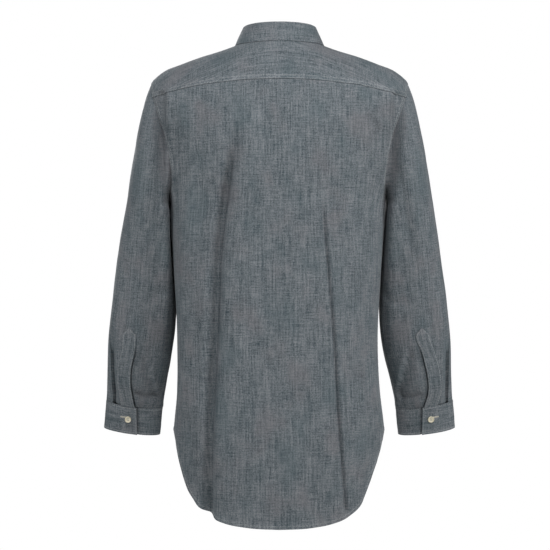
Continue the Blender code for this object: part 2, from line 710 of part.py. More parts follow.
def front(name, side, seam, lap):
    """A front, from its free edge past the middle out to the shoulder, armhole and side."""
    over = shoulder_seam()
    outer = join(over, arm_edge(-1, TURN_FRONT, math.pi, ARM_DOWN), side_edge())
    lowest = run_at_height(-math.pi / 2, SIDE_END_Z - BACK_HEM[-1].drop * FRONT_HEM_SHARE)
    armpit = outer[1][-SIDE_PARTS - 1]
    below = np.maximum(outer[1] - armpit, 0)
    middle_run = outer[1] + below * (lowest - outer[1][-1]) / below[-1]
    middle_run[0] = lap * NECK_LAP_DROP
    inner = (front_angle(PLACKET_HALF, middle_run), middle_run)
    neck = np.linspace(inner[0][0], over[0][0], NECKLINE_PARTS + 1)
    neck_run = np.zeros(neck.shape)
    neck_run[0] = middle_run[0]
    foot = hem(np.linspace(inner[0][-1], 0, len(neck)), FRONT_HEM_SHARE)
    foot[1][0] = middle_run[-1]
    angle, run = patch((neck, neck_run), foot, inner, outer)
    strips = np.linspace(-PLACKET_HALF, PLACKET_HALF, BAND_PARTS + 1)[:-1]
    band = np.stack([front_angle(x, middle_run) for x in strips], axis=1)
    angle = np.concatenate([band, angle], axis=1)
    run = np.concatenate([np.repeat(middle_run[:, None], BAND_PARTS, axis=1), run], axis=1)
    out = np.zeros(angle.shape)
    out[:, : BAND_PARTS + 1] = lap
    if side < 0:
        angle = math.pi - angle
    foot_of_arm = ARM_OVER_RIDGE + ARM_DOWN
    part = part_of(seam, foot_of_arm, foot_of_arm + ARM_DOWN + 1)
    part = Seam(part.through[::-1], part.gap[::-1])
    arm_rows = slice(YOKE_ROWS, YOKE_ROWS + ARM_DOWN + 1)
    return panel(name, angle, run, [((arm_rows, -1), part)], out)


# ---- collar ----


def neck_angles(end):
    """Angles round the neck from the wearer's left front to the right, past the middle by end."""
    corner, far = neck_points()
    yoke_parts = 2 * 2 * ARM_OVER_RIDGE + YOKE_SEAM_PARTS
    inner = float(front_angle(PLACKET_HALF, 0.0))
    lap = [float(front_angle(x, 0.0)) for x in (-end, 0)]
    left = np.concatenate([lap, np.linspace(inner, corner, NECKLINE_PARTS + 1)[:-1]])
    behind = np.linspace(corner, far, yoke_parts + 1)
    return np.concatenate([left, behind, math.pi - left[::-1]])


def stand_points(angle, share):
    """Points of the collar stand's outer face, share 0 at the neck seam to 1 at its top."""
    foot = smooth_body(angle, np.zeros(angle.shape)) + [0, 0, SEAM_GAP]
    top = ring_points(angle, np.broadcast_to(np.array(STAND_TOP[1:], float), angle.shape + (8,)))
    share = np.asarray(share)[..., None]
    return foot + (top - foot) * share


def collar_stand():
    """The band round the neck. Its left end lies over its right end at the front."""
    angles = neck_angles(STAND_END)
    share, angle = np.meshgrid([1, 0.5, 0], angles, indexing="ij")
    grid = stand_points(angle, share)
    normals = grid_normals(grid, False)
    over = np.where(np.arange(len(angles)) < len(angles) / 2, 1, -1)
    near_end = np.clip(STAND_LAP_EASE - np.abs(grid[..., 0]) / PLACKET_HALF, 0, 1)
    lap = (BAND + LAP_GAP) / 2 * over * near_end * (grid[..., 1] < 0)
    grid = grid + normals * lap[..., None]
    return wall("collar_stand", grid, normals * BAND)


def collar_fall():
    """The leaf that folds over the stand and lies on the yoke and the fronts."""
    fold, edge, run = FALL_TABLE.at(np.linspace(0, 1, FALL_HALF_PARTS + 1)).T
    fold = np.radians(np.concatenate([180 - fold[::-1], fold[1:]]))
    edge = np.radians(np.concatenate([180 - edge[::-1], edge[1:]]))
    run = np.concatenate([run[::-1], run[1:]])
    top, middle = (stand_points(fold, np.full(fold.shape, share)) for share in (1, 0.5))
    up = top - middle
    up /= np.linalg.norm(up, axis=-1, keepdims=True)
    outward = np.cross([0, 0, 1], np.gradient(top, axis=0))
    outward /= np.linalg.norm(outward, axis=-1, keepdims=True)
    rest = skin(edge, run) + normals_of(skin, edge, run) * (BAND / 2 + LAP_GAP + LEAF_LIFT)
    rows = [top - outward * BAND / 2 + up * (LAP_GAP + SEAM_GAP)]
    for turn in np.radians(ROLL_DEG) * np.arange(1, ROLL_ROWS + 1) / ROLL_ROWS:
        across = outward * ROLL_RADIUS * (1 - math.cos(turn))
        rows.append(rows[0] + across + up * (ROLL_LIFT + ROLL_RADIUS * math.sin(turn)))
    turned = rows[-1]
    bulge = (turned + rest) / 2 + outward * LEAF_BULGE + np.array([0, 0, LEAF_BULGE])
    for t in np.arange(1, LEAF_ROWS + 1) / LEAF_ROWS:
        rows.append((1 - t) ** 2 * turned + 2 * t * (1 - t) * bulge + t * t * rest)
    grid = np.array(rows)
    normals = grid_normals(grid, False)
    return wall("collar_fall", grid + normals * BAND / 2, normals * BAND)


# ---- buttons ----


def button(name, point, normal):
    """A turned disc with a raised rim, its back at the point, facing along the normal."""
    profile = [
        (BUTTON_RADIUS * 0.82, 0),
        (BUTTON_RADIUS, 0.7),
        (BUTTON_RADIUS, BUTTON_RIM - 0.6),
        (BUTTON_RADIUS * 0.86, BUTTON_RIM),
        (BUTTON_RADIUS * 0.62, BUTTON_DISH),
    ]
    normal = np.array(normal, float) / np.linalg.norm(normal)
    side = np.cross(normal, [0, 0, 1])
    side /= np.linalg.norm(side)
    other = np.cross(normal, side)
    turn = np.linspace(0, 2 * math.pi, BUTTON_SIDES + 1)[:-1]
    points = [
        point + side * r * math.cos(a) + other * r * math.sin(a) + normal * h
        for r, h in profile
        for a in turn
    ]
    n = BUTTON_SIDES
    faces = [
        (k * n + i, k * n + (i + 1) % n, (k + 1) * n + (i + 1) % n, (k + 1) * n + i)
        for k in range(len(profile) - 1)
        for i in range(n)
    ]
    faces.append(tuple(range(n))[::-1])
    faces.append(tuple((len(profile) - 1) * n + i for i in range(n)))
    return mesh_object(name, points, faces, IVORY, IVORY_ROUGH)


def front_buttons():
    """The row of buttons down the front, on its top layer."""
    z = FRONT_BUTTON_TOP - FRONT_BUTTON_STEP * np.arange(FRONT_BUTTONS)
    run = run_at_height(np.full(FRONT_BUTTONS, -math.pi / 2), z)
    angle = front_angle(0.0, run)
    normals = normals_of(skin, angle, run)
    points = skin(angle, run) + normals * (CLOTH + 2 * LAP_GAP)
    for i in range(FRONT_BUTTONS):
        button(f"button_front_{i + 1}", points[i], normals[i])


def collar_button():
    """The button on the front of the collar stand, whose top layer is its left end."""
    angle = front_angle(0.0, 0.0)
    middle, above, aside = stand_points(
        np.array([angle, angle, angle + 0.02]), np.array([0.5, 0.6, 0.5])
    )
    normal = np.cross(aside - middle, above - middle)
    normal /= np.linalg.norm(normal)
    button("button_collar", middle + normal * ((BAND + LAP_GAP) / 2 + LAP_GAP), normal)


def cuff_button(name, side):
    angle = math.radians(CUFF_EDGE_DEG) - CUFF_BUTTON_IN / CUFF_HALF
    share = CUFF_BUTTON_SHARE
    spots = [(angle, share), (angle + 0.02, share), (angle, share - 0.07)]
    lift = CUFF_OUT + LAP_GAP
    middle, aside, above = (
        cuff_ring(np.array(a), np.array(s), side, np.array(lift)) for a, s in spots
    )
    button(name, middle, np.cross(aside - middle, above - middle) * side)


def main():
    for old in list(bpy.data.objects):
        bpy.data.objects.remove(old, do_unlink=True)
    turns = sleeve_turns()
    places = np.linspace(0, len(SLEEVE) - 1, SLEEVE_ROWS + 1)
    grids = {side: sleeve_points(turns, places, side) for side in (1, -1)}
    seams = {side: armhole_seam(grids[side], side) for side in (1, -1)}
    back(seams)
    yoke(seams)
    front("front_left", 1, seams[1], CLOTH + LAP_GAP)
    front("front_right", -1, seams[-1], 0)
    for hand, side in (("left", 1), ("right", -1)):
        sleeve(f"sleeve_{hand}", grids[side], side, seams[side])
        placket(f"placket_{hand}", side)
        cuff(f"cuff_{hand}", side)
        cuff_button(f"button_cuff_{hand}", side)
    collar_stand()
    collar_fall()
    front_buttons()
    collar_button()


main()
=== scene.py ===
"""Dresses a packed long-tailed chambray shirt: thin cloth with its folds, its sewing and buttons.

Lengths are in millimetres until a mesh is made. +X is the wearer's left, -Y the wearer's front
and +Z up, with the origin in the middle of the neck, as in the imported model. The forms of the
body, sleeves, cuffs and collar repeat the sizes of the solids, with finer folds laid on them.
"""

import logging
import math
from dataclasses import dataclass, field
from enum import Enum
from typing import Callable, NamedTuple, Sequence

import bmesh
import bpy
import numpy as np
from mathutils import Matrix, Vector
from mathutils.bvhtree import BVHTree


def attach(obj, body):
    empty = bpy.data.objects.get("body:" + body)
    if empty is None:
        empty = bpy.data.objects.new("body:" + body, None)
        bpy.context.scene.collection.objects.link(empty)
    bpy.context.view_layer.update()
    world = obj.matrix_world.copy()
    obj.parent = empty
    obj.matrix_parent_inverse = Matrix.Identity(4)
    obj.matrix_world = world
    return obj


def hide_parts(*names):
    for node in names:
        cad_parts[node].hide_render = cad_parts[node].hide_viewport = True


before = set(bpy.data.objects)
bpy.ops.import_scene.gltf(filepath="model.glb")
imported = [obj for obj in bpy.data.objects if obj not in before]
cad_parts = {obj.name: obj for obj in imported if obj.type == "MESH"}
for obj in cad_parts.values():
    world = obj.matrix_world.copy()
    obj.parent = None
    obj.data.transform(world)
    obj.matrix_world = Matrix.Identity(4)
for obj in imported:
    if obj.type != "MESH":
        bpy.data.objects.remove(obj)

LOG = logging.getLogger("shirt")
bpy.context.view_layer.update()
Grid = np.ndarray
Edge = tuple[np.ndarray, np.ndarray]


class Face(Enum):
    """The two sides of the body."""

    BACK = 1
    FRONT = -1


class Side(Enum):
    """The wearer's two sides, as the sign of X."""

    LEFT = 1
    RIGHT = -1

    @property
    def word(self) -> str:
        """The side as it is written in the names of pieces."""
        return self.name.lower()


# ---- the forms, as in the solids ----


class Section(NamedTuple):
    """A ring of the body: half its width, its depth behind and before, three heights."""

    name: str
    half_width: float
    back: float
    front: float
    z_back: float
    z_side: float
    z_front: float
    square: float
    shift: float


BODY = (
    Section("neck seam", 67, 60, 64, 9, 4.5, -62, 0.02, 0),
    Section("under the collar", 80, 73, 77, -7, -0.5, -78, 0.03, 0),
    Section("inner shoulder", 104, 87, 92, -27, -8.8, -99, 0.03, 0),
    Section("middle of shoulder", 136, 99, 103, -52, -18.3, -125, 0.03, 0),
    Section("outer shoulder", 172, 109, 112, -82, -31.2, -154, 0.03, 0),
    Section("shoulder bend", 202.5, 115, 118, -112, -44, -180, 0.03, 0),
    Section("shoulder end", 224, 119, 121, -142, -65, -202, 0.03, 0),
    Section("sleeve head", 223, 121, 123, -168, -100, -221, 0.03, 0.5),
    Section("middle of armhole", 209, 122, 125, -201, -152, -243, 0.03, 1),
    Section("under the arm", 197, 122, 126, -236, -208, -265, 0.03, 2),
    Section("armpit", 189, 121, 126, -275, -260, -290, 0.03, 3),
    Section("chest", 186, 120, 126, -322, -312, -330, 0.04, 3.5),
    Section("waist", 180, 118, 124, -400, -400, -400, 0.05, 3.5),
    Section("hip", 174.5, 117, 122, -520, -520, -520, 0.05, 3.3),
    Section("seat", 177, 118, 122, -605, -605, -605, 0.05, 2),
    Section("side seam end", 183.5, 120, 122, -672, -672, -672, 0.05, 1),
    Section("tail", 181, 119, 119, -750, -750, -750, 0.05, 2),
    Section("tail hem", 178, 117, 115, -830, -830, -830, 0.05, 1),
)
YOKE_SEAM_Z, YOKE_SEAM_DROP, YOKE_SEAM_SPAN = -66.8, 18.5, 186
YOKE_FRONT_REACH = 35
SIDE_END_Z = -670
PLACKET_HALF = 16
FRONT_HEM_SHARE = 0.6


class Reach(NamedTuple):
    """How far the armhole is cut into a face, and how soon from its ends."""

    degrees: float
    curve: float


ARMHOLE = {Face.BACK: Reach(24.5, 0.75), Face.FRONT: Reach(29, 0.9)}
ARMHOLE_TOP, ARMHOLE_FOOT = "shoulder end", "armpit"
ARMHOLE_QUARTER = 1.5  # turns are sought in the first quarter of the armhole


class Hem(NamedTuple):
    """How far across from the middle to the side, and how far the hem drops there."""

    across: float
    drop: float


BACK_HEM = (
    Hem(0.0, 158),
    Hem(0.3, 155),
    Hem(0.51, 148.5),
    Hem(0.665, 138),
    Hem(0.8, 115),
    Hem(0.89, 83),
    Hem(0.945, 42),
    Hem(0.972, 17),
    Hem(1.0, 0),
)


class Ring(NamedTuple):
    """A ring of the left sleeve: its outer and inner edge points, its depth and its lean."""

    name: str
    outer_x: float
    outer_z: float
    inner_x: float
    inner_z: float
    y: float
    half_depth: float
    lean_deg: float
    square: float
    right_in: float


SLEEVE = (
    Ring("armhole", 224, -65, 190, -260, -3, 66, 0, 0, 0),
    Ring("cap", 233.5, -90, 192, -266, -5, 69, 0, 0.02, 0),
    Ring("under the cap", 242, -122, 190, -274, -7, 71, 0, 0.04, 0),
    Ring("top of arm", 249.5, -160, 186.5, -284, -10, 72, 0, 0.06, 0),
    Ring("below the armpit", 257, -203, 182, -298, -14, 70, 1, 0.08, 0),
    Ring("upper arm", 266.5, -260, 179, -320, -18, 66, 2, 0.08, 0),
    Ring("middle of upper arm", 276, -320, 177, -356, -22, 62, 3, 0.08, 0),
    Ring("above the elbow", 285.5, -380, 176, -398, -26, 58, 4, 0.08, 1),
    Ring("elbow", 295.5, -445, 179, -450, -30, 55, 6, 0.07, 4),
    Ring("below the elbow", 301.5, -497, 184.5, -500, -34, 52, 8, 0.06, 7),
    Ring("forearm", 304, -540, 191.5, -545, -38, 48, 9, 0.04, 6),
    Ring("low forearm", 305.5, -580, 200, -586, -43, 42, 10, 0.02, 4),
    Ring("above the cuff", 306.5, -607, 205.5, -617, -47, 33, 10, 0, 2),
    Ring("cuff seam", 307.5, -621, 207, -634, -49, 26.5, 10, 0, 1.5),
)
CUFF_HEM = Ring("cuff hem", 312, -669.5, 212, -682, -56, 25.5, 10, 0, 1.5)
CUFF_HALF = (CUFF_HEM.outer_x - CUFF_HEM.inner_x) / 2
CAP_BLEND = 4.5
SLEEVE_CLEAR, SLEEVE_CLEAR_SLOPE = 3.0, 0.12

STAND_TOP = Section("stand top", 60, 50, 55, 32.5, 29.5, -31, 0.02, 0)


class Leaf(NamedTuple):
    """Where the collar's fold and its free edge are, half way round from the back."""

    name: str
    fold_deg: float
    edge_deg: float
    edge_run: float


COLLAR_FALL = (
    Leaf("middle of back", 90, 90, 5),
    Leaf("back", 45, 45, 8),
    Leaf("side", 0, 0, 11.5),
    Leaf("front of shoulder", -32, -29, 16),
    Leaf("front", -57, -45, 31),
    Leaf("near the point", -73, -55, 50),
    Leaf("point", -82, -61, 67),
)


# ---- cloth in figures ----

LAYER = 0.7  # one layer of cloth as it is shown
BAND = 2.0  # cuffs and collar, with their interlining
INNER_SHIFT = 0.013  # metres that the weave is moved on the inner face
INNER_WEAR = 0.4  # how much the inner face is worn, next to the outer one
SHARP_DEG = 55  # sharper than this is an edge of the cloth
EASE_OUT = 2.5  # millimetres over which a turned-in edge flattens
PUCKER_LENGTH, PUCKER_DRIFT, PUCKER_SWELL = 1.35, 9.7, 23.0  # along a row of stitches
HALVINGS = 36  # of a range, when a crossing is sought


class SmoothTable:
    """Reads the rows of a table at any place between them, along smooth curves."""

    def __init__(self, places: Sequence[float], rows: Sequence[Sequence[float]]) -> None:
        """Works out the slope at each row.

        Args:
            places: where each row lies, rising.
            rows: the values at each place.
        """
        self.places = np.array(places, float)
        self.rows = np.array(rows, float)
        step = np.diff(self.places)[:, None]
        slope = np.diff(self.rows, axis=0) / step
        middle = slope[:-1] * step[1:] + slope[1:] * step[:-1]
        self.slopes = np.vstack([slope[:1], middle / (step[:-1] + step[1:]), slope[-1:]])

    def at(self, place: np.ndarray) -> np.ndarray:
        """Reads the table at any places.

        Args:
            place: where the table is read, in any shape.

        Returns:
            The values, with the table's columns as the last axis.
        """
        place = np.asarray(place, float)
        i = np.clip(np.searchsorted(self.places, place, side="right") - 1, 0, len(self.places) - 2)
        step = (self.places[i + 1] - self.places[i])[..., None]
        t = (place - self.places[i])[..., None] / step
        from_a = (1 + 2 * t) * (1 - t) ** 2
        bent = t * (1 - t) ** 2 * step * self.slopes[i]
        bent = bent + t * t * (t - 1) * step * self.slopes[i + 1]
        return from_a * self.rows[i] + (1 - from_a) * self.rows[i + 1] + bent


def smooth_step(x: np.ndarray) -> np.ndarray:
    """0 below 0, 1 above 1, and an S-shaped rise between them."""
    x = np.clip(x, 0, 1)
    return x * x * (3 - 2 * x)


def unit(v: np.ndarray) -> np.ndarray:
    """Vectors made one long."""
    return v / np.maximum(np.linalg.norm(v, axis=-1, keepdims=True), 1e-9)


def path_lengths(points: np.ndarray) -> np.ndarray:
    """Distance along a line of points, from its first one."""
    return np.concatenate([[0], np.cumsum(np.linalg.norm(np.diff(points, axis=0), axis=1))])


def smooth_line(points: Sequence[Sequence[float]], count: int) -> np.ndarray:
    """Draws a smooth curve through a few points.

    Args:
        points: the places that the curve goes through.
        count: how many points it gets.

    Returns:
        The curve, or the points themselves if there are fewer than three.
    """
    line = np.array(points, float)
    if len(line) < 3:
        return line
    length = path_lengths(line)
    return SmoothTable(length, line).at(np.linspace(0, length[-1], count))


def solve(function: Callable, low: np.ndarray, high: np.ndarray) -> np.ndarray:
    """Finds where a function that falls from low to high crosses 0, for each element.

    Args:
        function: gives its value at each element's place.
        low: where the function is above 0.
        high: where it is below 0.

    Returns:
        The places where it crosses 0.
    """
    low, high = np.array(low, float), np.array(high, float)
    for _ in range(HALVINGS):
        middle = (low + high) / 2
        above = function(middle) > 0
        low, high = np.where(above, middle, low), np.where(above, high, middle)
    return (low + high) / 2


def grid_normals(points: Grid, closed: bool) -> Grid:
    """Works out the normals of a grid of points.

    Args:
        points: the grid, rows first.
        closed: whether its last column meets its first.

    Returns:
        A unit normal at each point.
    """
    if closed:
        across = np.roll(points, -1, axis=1) - np.roll(points, 1, axis=1)
    else:
        across = np.gradient(points, axis=1)
    return unit(np.cross(across, -np.gradient(points, axis=0)))


def near_line(points: Grid, line: np.ndarray) -> tuple[Grid, Grid]:
    """How far points are from a line, and how far along the line the nearest place is.

    Args:
        points: places of any shape, with coordinates last.
        line: the line's own points, in the same coordinates.

    Returns:
        The distances, signed by the side in two dimensions, and the lengths along the line.
    """
    flat = points.reshape(-1, points.shape[-1])
    lengths = path_lengths(line)
    best = np.full(len(flat), 1e18)
    signed = np.zeros(len(flat))
    along = np.zeros(len(flat))
    last = len(line) - 2
    for k in range(last + 1):
        step = line[k + 1] - line[k]
        size = float(step @ step)
        share = (flat - line[k]) @ step / size
        inside = np.clip(share, -9 if k == 0 else 0, 9 if k == last else 1)
        off = flat - line[k] - inside[:, None] * step
        far = np.einsum("ij,ij->i", off, off)
        closer = far < best
        best = np.where(closer, far, best)
        side = np.ones(len(flat))
        if points.shape[-1] == 2:
            side = np.sign(step[0] * off[:, 1] - step[1] * off[:, 0] + 1e-12)
        signed = np.where(closer, np.sqrt(far) * side, signed)
        along = np.where(closer, lengths[k] + inside * math.sqrt(size), along)
    shape = points.shape[:-1]
    return signed.reshape(shape), along.reshape(shape)


@dataclass(frozen=True)
class Fold:
    """A soft trough or ridge of cloth along a line.

    Args:
        line: its (across, height) points.
        width: how far it spreads to each side.
        depth: how far it sinks in, below 0 for a ridge.
        lean: raises the cloth beside it, on the side of +across above 0 and on the other below.
        fade: how gently it starts and ends.
    """

    line: tuple[tuple[float, float], ...]
    width: float
    depth: float
    lean: float = 0.0
    fade: tuple[float, float] = (60.0, 60.0)

    def field(self, across: Grid, height: Grid) -> Grid:
        """Works out how far the cloth is pushed in at each place.

        Args:
            across: places across the cloth.
            height: heights of the same places.

        Returns:
            Depths at these places.
        """
        line = smooth_line(self.line, 18)
        if line[0, 1] < line[-1, 1]:
            line = line[::-1]
        off, along = near_line(np.stack([across, height], axis=-1), line)
        total = path_lengths(line)[-1]
        start, end = along / self.fade[0], (total - along) / self.fade[1]
        ends = smooth_step(start + 0.5) * smooth_step(end + 0.5)
        steeper = 1 + 1.6 * abs(self.lean)
        s = off / self.width * np.where(off * self.lean > 0, steeper, 1 / steeper)
        shape = np.exp(-(s**2))
        if self.lean:
            beside = (s - math.copysign(1.8, self.lean)) / 1.1
            shape = shape - abs(self.lean) * np.exp(-(beside**2))
        return self.depth * shape * ends


class Ripple:
    """Unevenness of hanging cloth: waves whose directions are drawn once from a fixed seed."""

    def __init__(self, seed: int, across: float, along: float, count: int = 28) -> None:
        """Draws the waves.

        Args:
            seed: fixes the draw.
            across: typical length of a wave across the cloth.
            along: typical length of a wave down it.
            count: how many waves are added up.
        """
        draw = np.random.default_rng(seed)
        self.k_across = draw.normal(0, 1, count) * 2 * math.pi / across / 1.4
        self.k_along = draw.normal(0, 1, count) * 2 * math.pi / along / 1.4
        self.phase = draw.uniform(0, 2 * math.pi, count)

    def at(self, across: Grid, along: Grid) -> Grid:
        """Adds up the waves at each place.

        Args:
            across: places across the cloth.
            along: places along it.

        Returns:
            Heights, about 1 at most.
        """
        total = np.zeros(np.shape(across))
        for a, b, c in zip(self.k_across, self.k_along, self.phase):
            total += np.sin(across * a + along * b + c)
        return total / math.sqrt(len(self.phase) * 2)


# ---- a piece of cloth ----


@dataclass
class Cut:
    """The flat piece that was cut for a panel.

    Args:
        width: across the grain line, in metres.
        length: along the grain line, in metres.
        area: of the flat piece, in square metres.
    """

    width: float
    length: float
    area: float


@dataclass
class Cloth:
    """One cut piece, as a grid of points of its outer face that becomes a thin closed shell.

    Args:
        node: the solid that it stands for.
        points: rows of points, in millimetres, seen from outside with rows going down.
        closed: whether the columns meet round a tube.
        thick: thickness at each point, or one for all.
        warp_across: whether the warp yarns run along the rows.
        woven: each point's place across and along the warp, if the rows don't show it.
    """

    node: str
    points: Grid
    closed: bool = False
    thick: Grid | float = LAYER
    warp_across: bool = False
    woven: Grid | None = None
    rest: Grid = field(init=False)
    wear: Grid = field(init=False)

    def __post_init__(self) -> None:
        """Keeps the smooth points, which edges are measured on."""
        self.rest = self.points.copy()
        self.wear = np.zeros(self.points.shape[:2])
        self.thick = np.broadcast_to(np.asarray(self.thick, float), self.points.shape[:2]).copy()

    def normals(self) -> Grid:
        """Outward normals of the outer face."""
        return grid_normals(self.points, self.closed)

    def push_out(self, amount: Grid) -> None:
        """Moves the outer face along its normals."""
        self.points = self.points + self.normals() * np.asarray(amount)[..., None]

    def edge(self, which: str) -> np.ndarray:
        """Picks out the points of an edge.

        Args:
            which: top, bottom, left or right.

        Returns:
            Its points on the smooth cloth.
        """
        rows = {"top": (0, slice(None)), "bottom": (-1, slice(None))}
        rows |= {"left": (slice(None), 0), "right": (slice(None), -1)}
        return self.rest[rows[which]]

    def from_line(self, line: np.ndarray, reach: float = 22.0) -> tuple[Grid, Grid]:
        """Measures the cloth from a line.

        Args:
            line: the seam's points.
            reach: how far from it the cloth is looked at.

        Returns:
            Distances from the line, large beyond the reach, and lengths along it.
        """
        flat = self.rest.reshape(-1, 3)
        coarse = line[:: max(1, len(line) // 40)]
        gap = path_lengths(line)[-1] / max(1, len(coarse) - 1)
        low, high = line.min(axis=0) - reach, line.max(axis=0) + reach
        inside = np.all((flat > low) & (flat < high), axis=1)
        index = np.nonzero(inside)[0]
        near = np.full(len(index), 1e9)
        for point in coarse:
            near = np.minimum(near, np.linalg.norm(flat[index] - point, axis=1))
        index = index[near < reach + gap]
        far = np.full(len(flat), 1e3)
        along = np.zeros(len(flat))
        if len(index):
            found, lengths = near_line(flat[index], line)
            far[index], along[index] = np.abs(found), lengths
        return far.reshape(self.points.shape[:2]), along.reshape(self.points.shape[:2])

    def sew_edge(self, line: np.ndarray, width: float, rise: float, pucker: float, seed: int) -> None:
        """Raises the cloth where it is turned in at a seam, and puckers it along the stitches.

        Args:
            line: the seam.
            width: how far the turned-in cloth reaches from it.
            rise: how much higher the cloth lies there.
            pucker: height of the puckers.
            seed: shifts their pattern.
        """
        far, along = self.from_line(line, width + 20)
        near = 1 - smooth_step((far - width) / EASE_OUT)
        wave = np.sin(along / PUCKER_LENGTH + 2.2 * np.sin(along / PUCKER_DRIFT + seed) + seed)
        wave = wave * (0.6 + 0.4 * np.sin(along / PUCKER_SWELL + 2 * seed))
        fall = np.exp(-((far / (width + 4)) ** 2)) * smooth_step(far / 1.5 + 0.2)
        self.push_out(rise * near + pucker * wave * fall)
        self.wear = np.maximum(self.wear, near * (0.55 + 0.3 * wave))
        self.thick = self.thick + near * rise

    def tube_places(self) -> tuple[Grid, float]:
        """Places on a tube's cloth by the turn round its axis and the way along it.

        Returns:
            The places in metres, and how far once round it is.
        """
        first = len(self.rest) * 2 // 5
        head, foot = self.rest[first].mean(axis=0), self.rest[-1].mean(axis=0)
        down = unit(foot - head)
        aside = unit(np.cross(down, [0, 1, 0]))
        deep = np.cross(aside, down)
        off = self.rest - head
        radius = path_lengths(self.rest[first])[-1] / (2 * math.pi) / 1000
        inner = math.copysign(1.0, head[0]) * math.copysign(1.0, aside[0])
        turn = np.arctan2(off @ deep, off @ aside * inner)
        return np.stack([turn * radius, off @ down / 1000], axis=-1), 2 * math.pi * radius

    def flat_places(self) -> Grid:
        """Places on the flat cloth in metres, across and along the warp."""
        if self.woven is not None:
            return self.woven / 1000
        rows, columns = self.rest.shape[:2]
        step = np.linalg.norm(np.diff(self.rest, axis=1), axis=-1)
        u = np.concatenate([np.zeros((rows, 1)), np.cumsum(step, axis=1)], axis=1)
        u = u - u[:, columns // 2][:, None]
        step = np.linalg.norm(np.diff(self.rest, axis=0), axis=-1)
        v = np.concatenate([np.zeros((1, columns)), np.cumsum(step, axis=0)], axis=0)
        v = v - v[rows // 2][None, :]
        pair = (v, u) if self.warp_across else (u, v)
        return np.stack(pair, axis=-1) / 1000

    def area(self) -> float:
        """Adds up the area of the outer face.

        Returns:
            Square metres.
        """
        grid = self.points
        if self.closed:
            grid = np.concatenate([grid, grid[:, :1]], axis=1)
        a, b, c, d = grid[:-1, :-1], grid[1:, :-1], grid[1:, 1:], grid[:-1, 1:]
        both = np.cross(c - a, d - b)
        return float(np.linalg.norm(both, axis=-1).sum() / 2 / 1e6)

    def tree(self) -> BVHTree:
        """Prepares the outer face for finding the nearest place on it.

        Returns:
            The face as a search tree.
        """
        rows, columns = self.points.shape[:2]
        index = np.arange(rows * columns).reshape(rows, columns)
        right = np.roll(index, -1, axis=1) if self.closed else index[:, 1:]
        here = index if self.closed else index[:, :-1]
        quads = np.stack([here[:-1], here[1:], right[1:], right[:-1]], axis=-1).reshape(-1, 4)
        return BVHTree.FromPolygons(self.points.reshape(-1, 3).tolist(), quads.tolist())

    def build(self, material: bpy.types.Material) -> bpy.types.Object:
        """Makes the closed shell, with its flat places as a UV map and its wear as an attribute.

        Args:
            material: its finish.

        Returns:
            The piece, on the body root and in its solid's stead.
        """
        rows, columns = self.points.shape[:2]
        inner = self.points - self.normals() * self.thick[..., None]
        count = rows * columns
        index = np.arange(count).reshape(rows, columns)
        right = np.roll(index, -1, axis=1) if self.closed else index[:, 1:]
        here = index if self.closed else index[:, :-1]
        outer = np.stack([here[:-1], here[1:], right[1:], right[:-1]], axis=-1).reshape(-1, 4)
        under = outer[:, ::-1] + count
        rims = [
            np.stack([here[0], right[0], right[0] + count, here[0] + count], axis=-1),
            np.stack([right[-1], here[-1], here[-1] + count, right[-1] + count], axis=-1),
        ]
        if not self.closed:
            for side, flip in ((index[:, 0], False), (index[:, -1], True)):
                a, b = (side[:-1], side[1:]) if flip else (side[1:], side[:-1])
                rims.append(np.stack([a, b, b + count, a + count], axis=-1))
        faces = np.concatenate([outer, under] + rims)
        name = f"{self.node}_cloth"
        mesh = bpy.data.meshes.new(name)
        both = np.concatenate([self.points.reshape(-1, 3), inner.reshape(-1, 3)]) / 1000
        mesh.from_pydata(both.tolist(), [], faces.tolist())
        places, period = self.tube_places() if self.closed else (self.flat_places(), 0.0)
        places = places.reshape(-1, 2)
        places = np.concatenate([places, places + [INNER_SHIFT, 0.0]])
        corners = places[faces.reshape(-1)]
        if self.closed:
            corners = self.closed_corners(corners.reshape(-1, 4, 2), period)
        mesh.uv_layers.new(name="cloth").data.foreach_set("uv", corners.astype(np.float32).ravel())
        wear = np.concatenate([self.wear.ravel(), self.wear.ravel() * INNER_WEAR]).astype(np.float32)
        mesh.attributes.new("wear", "FLOAT", "POINT").data.foreach_set("value", wear)
        mesh.materials.append(material)
        mesh.shade_smooth()
        mesh.set_sharp_from_angle(angle=math.radians(SHARP_DEG))
        mesh.update()
        made = made_object(name, mesh)
        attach(made, "root")
        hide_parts(self.node)
        return made

    @staticmethod
    def closed_corners(corners: np.ndarray, period: float) -> np.ndarray:
        """Keeps the pattern from running backwards where a tube's places start again.

        Args:
            corners: places at the four corners of each face.
            period: how far once round the tube is.

        Returns:
            The places of all corners in a row.
        """
        jump = corners[..., 0] - corners[:, :1, 0]
        corners[..., 0] -= np.round(jump / period) * period
        return corners.reshape(-1, 2)


# ---- the body ----

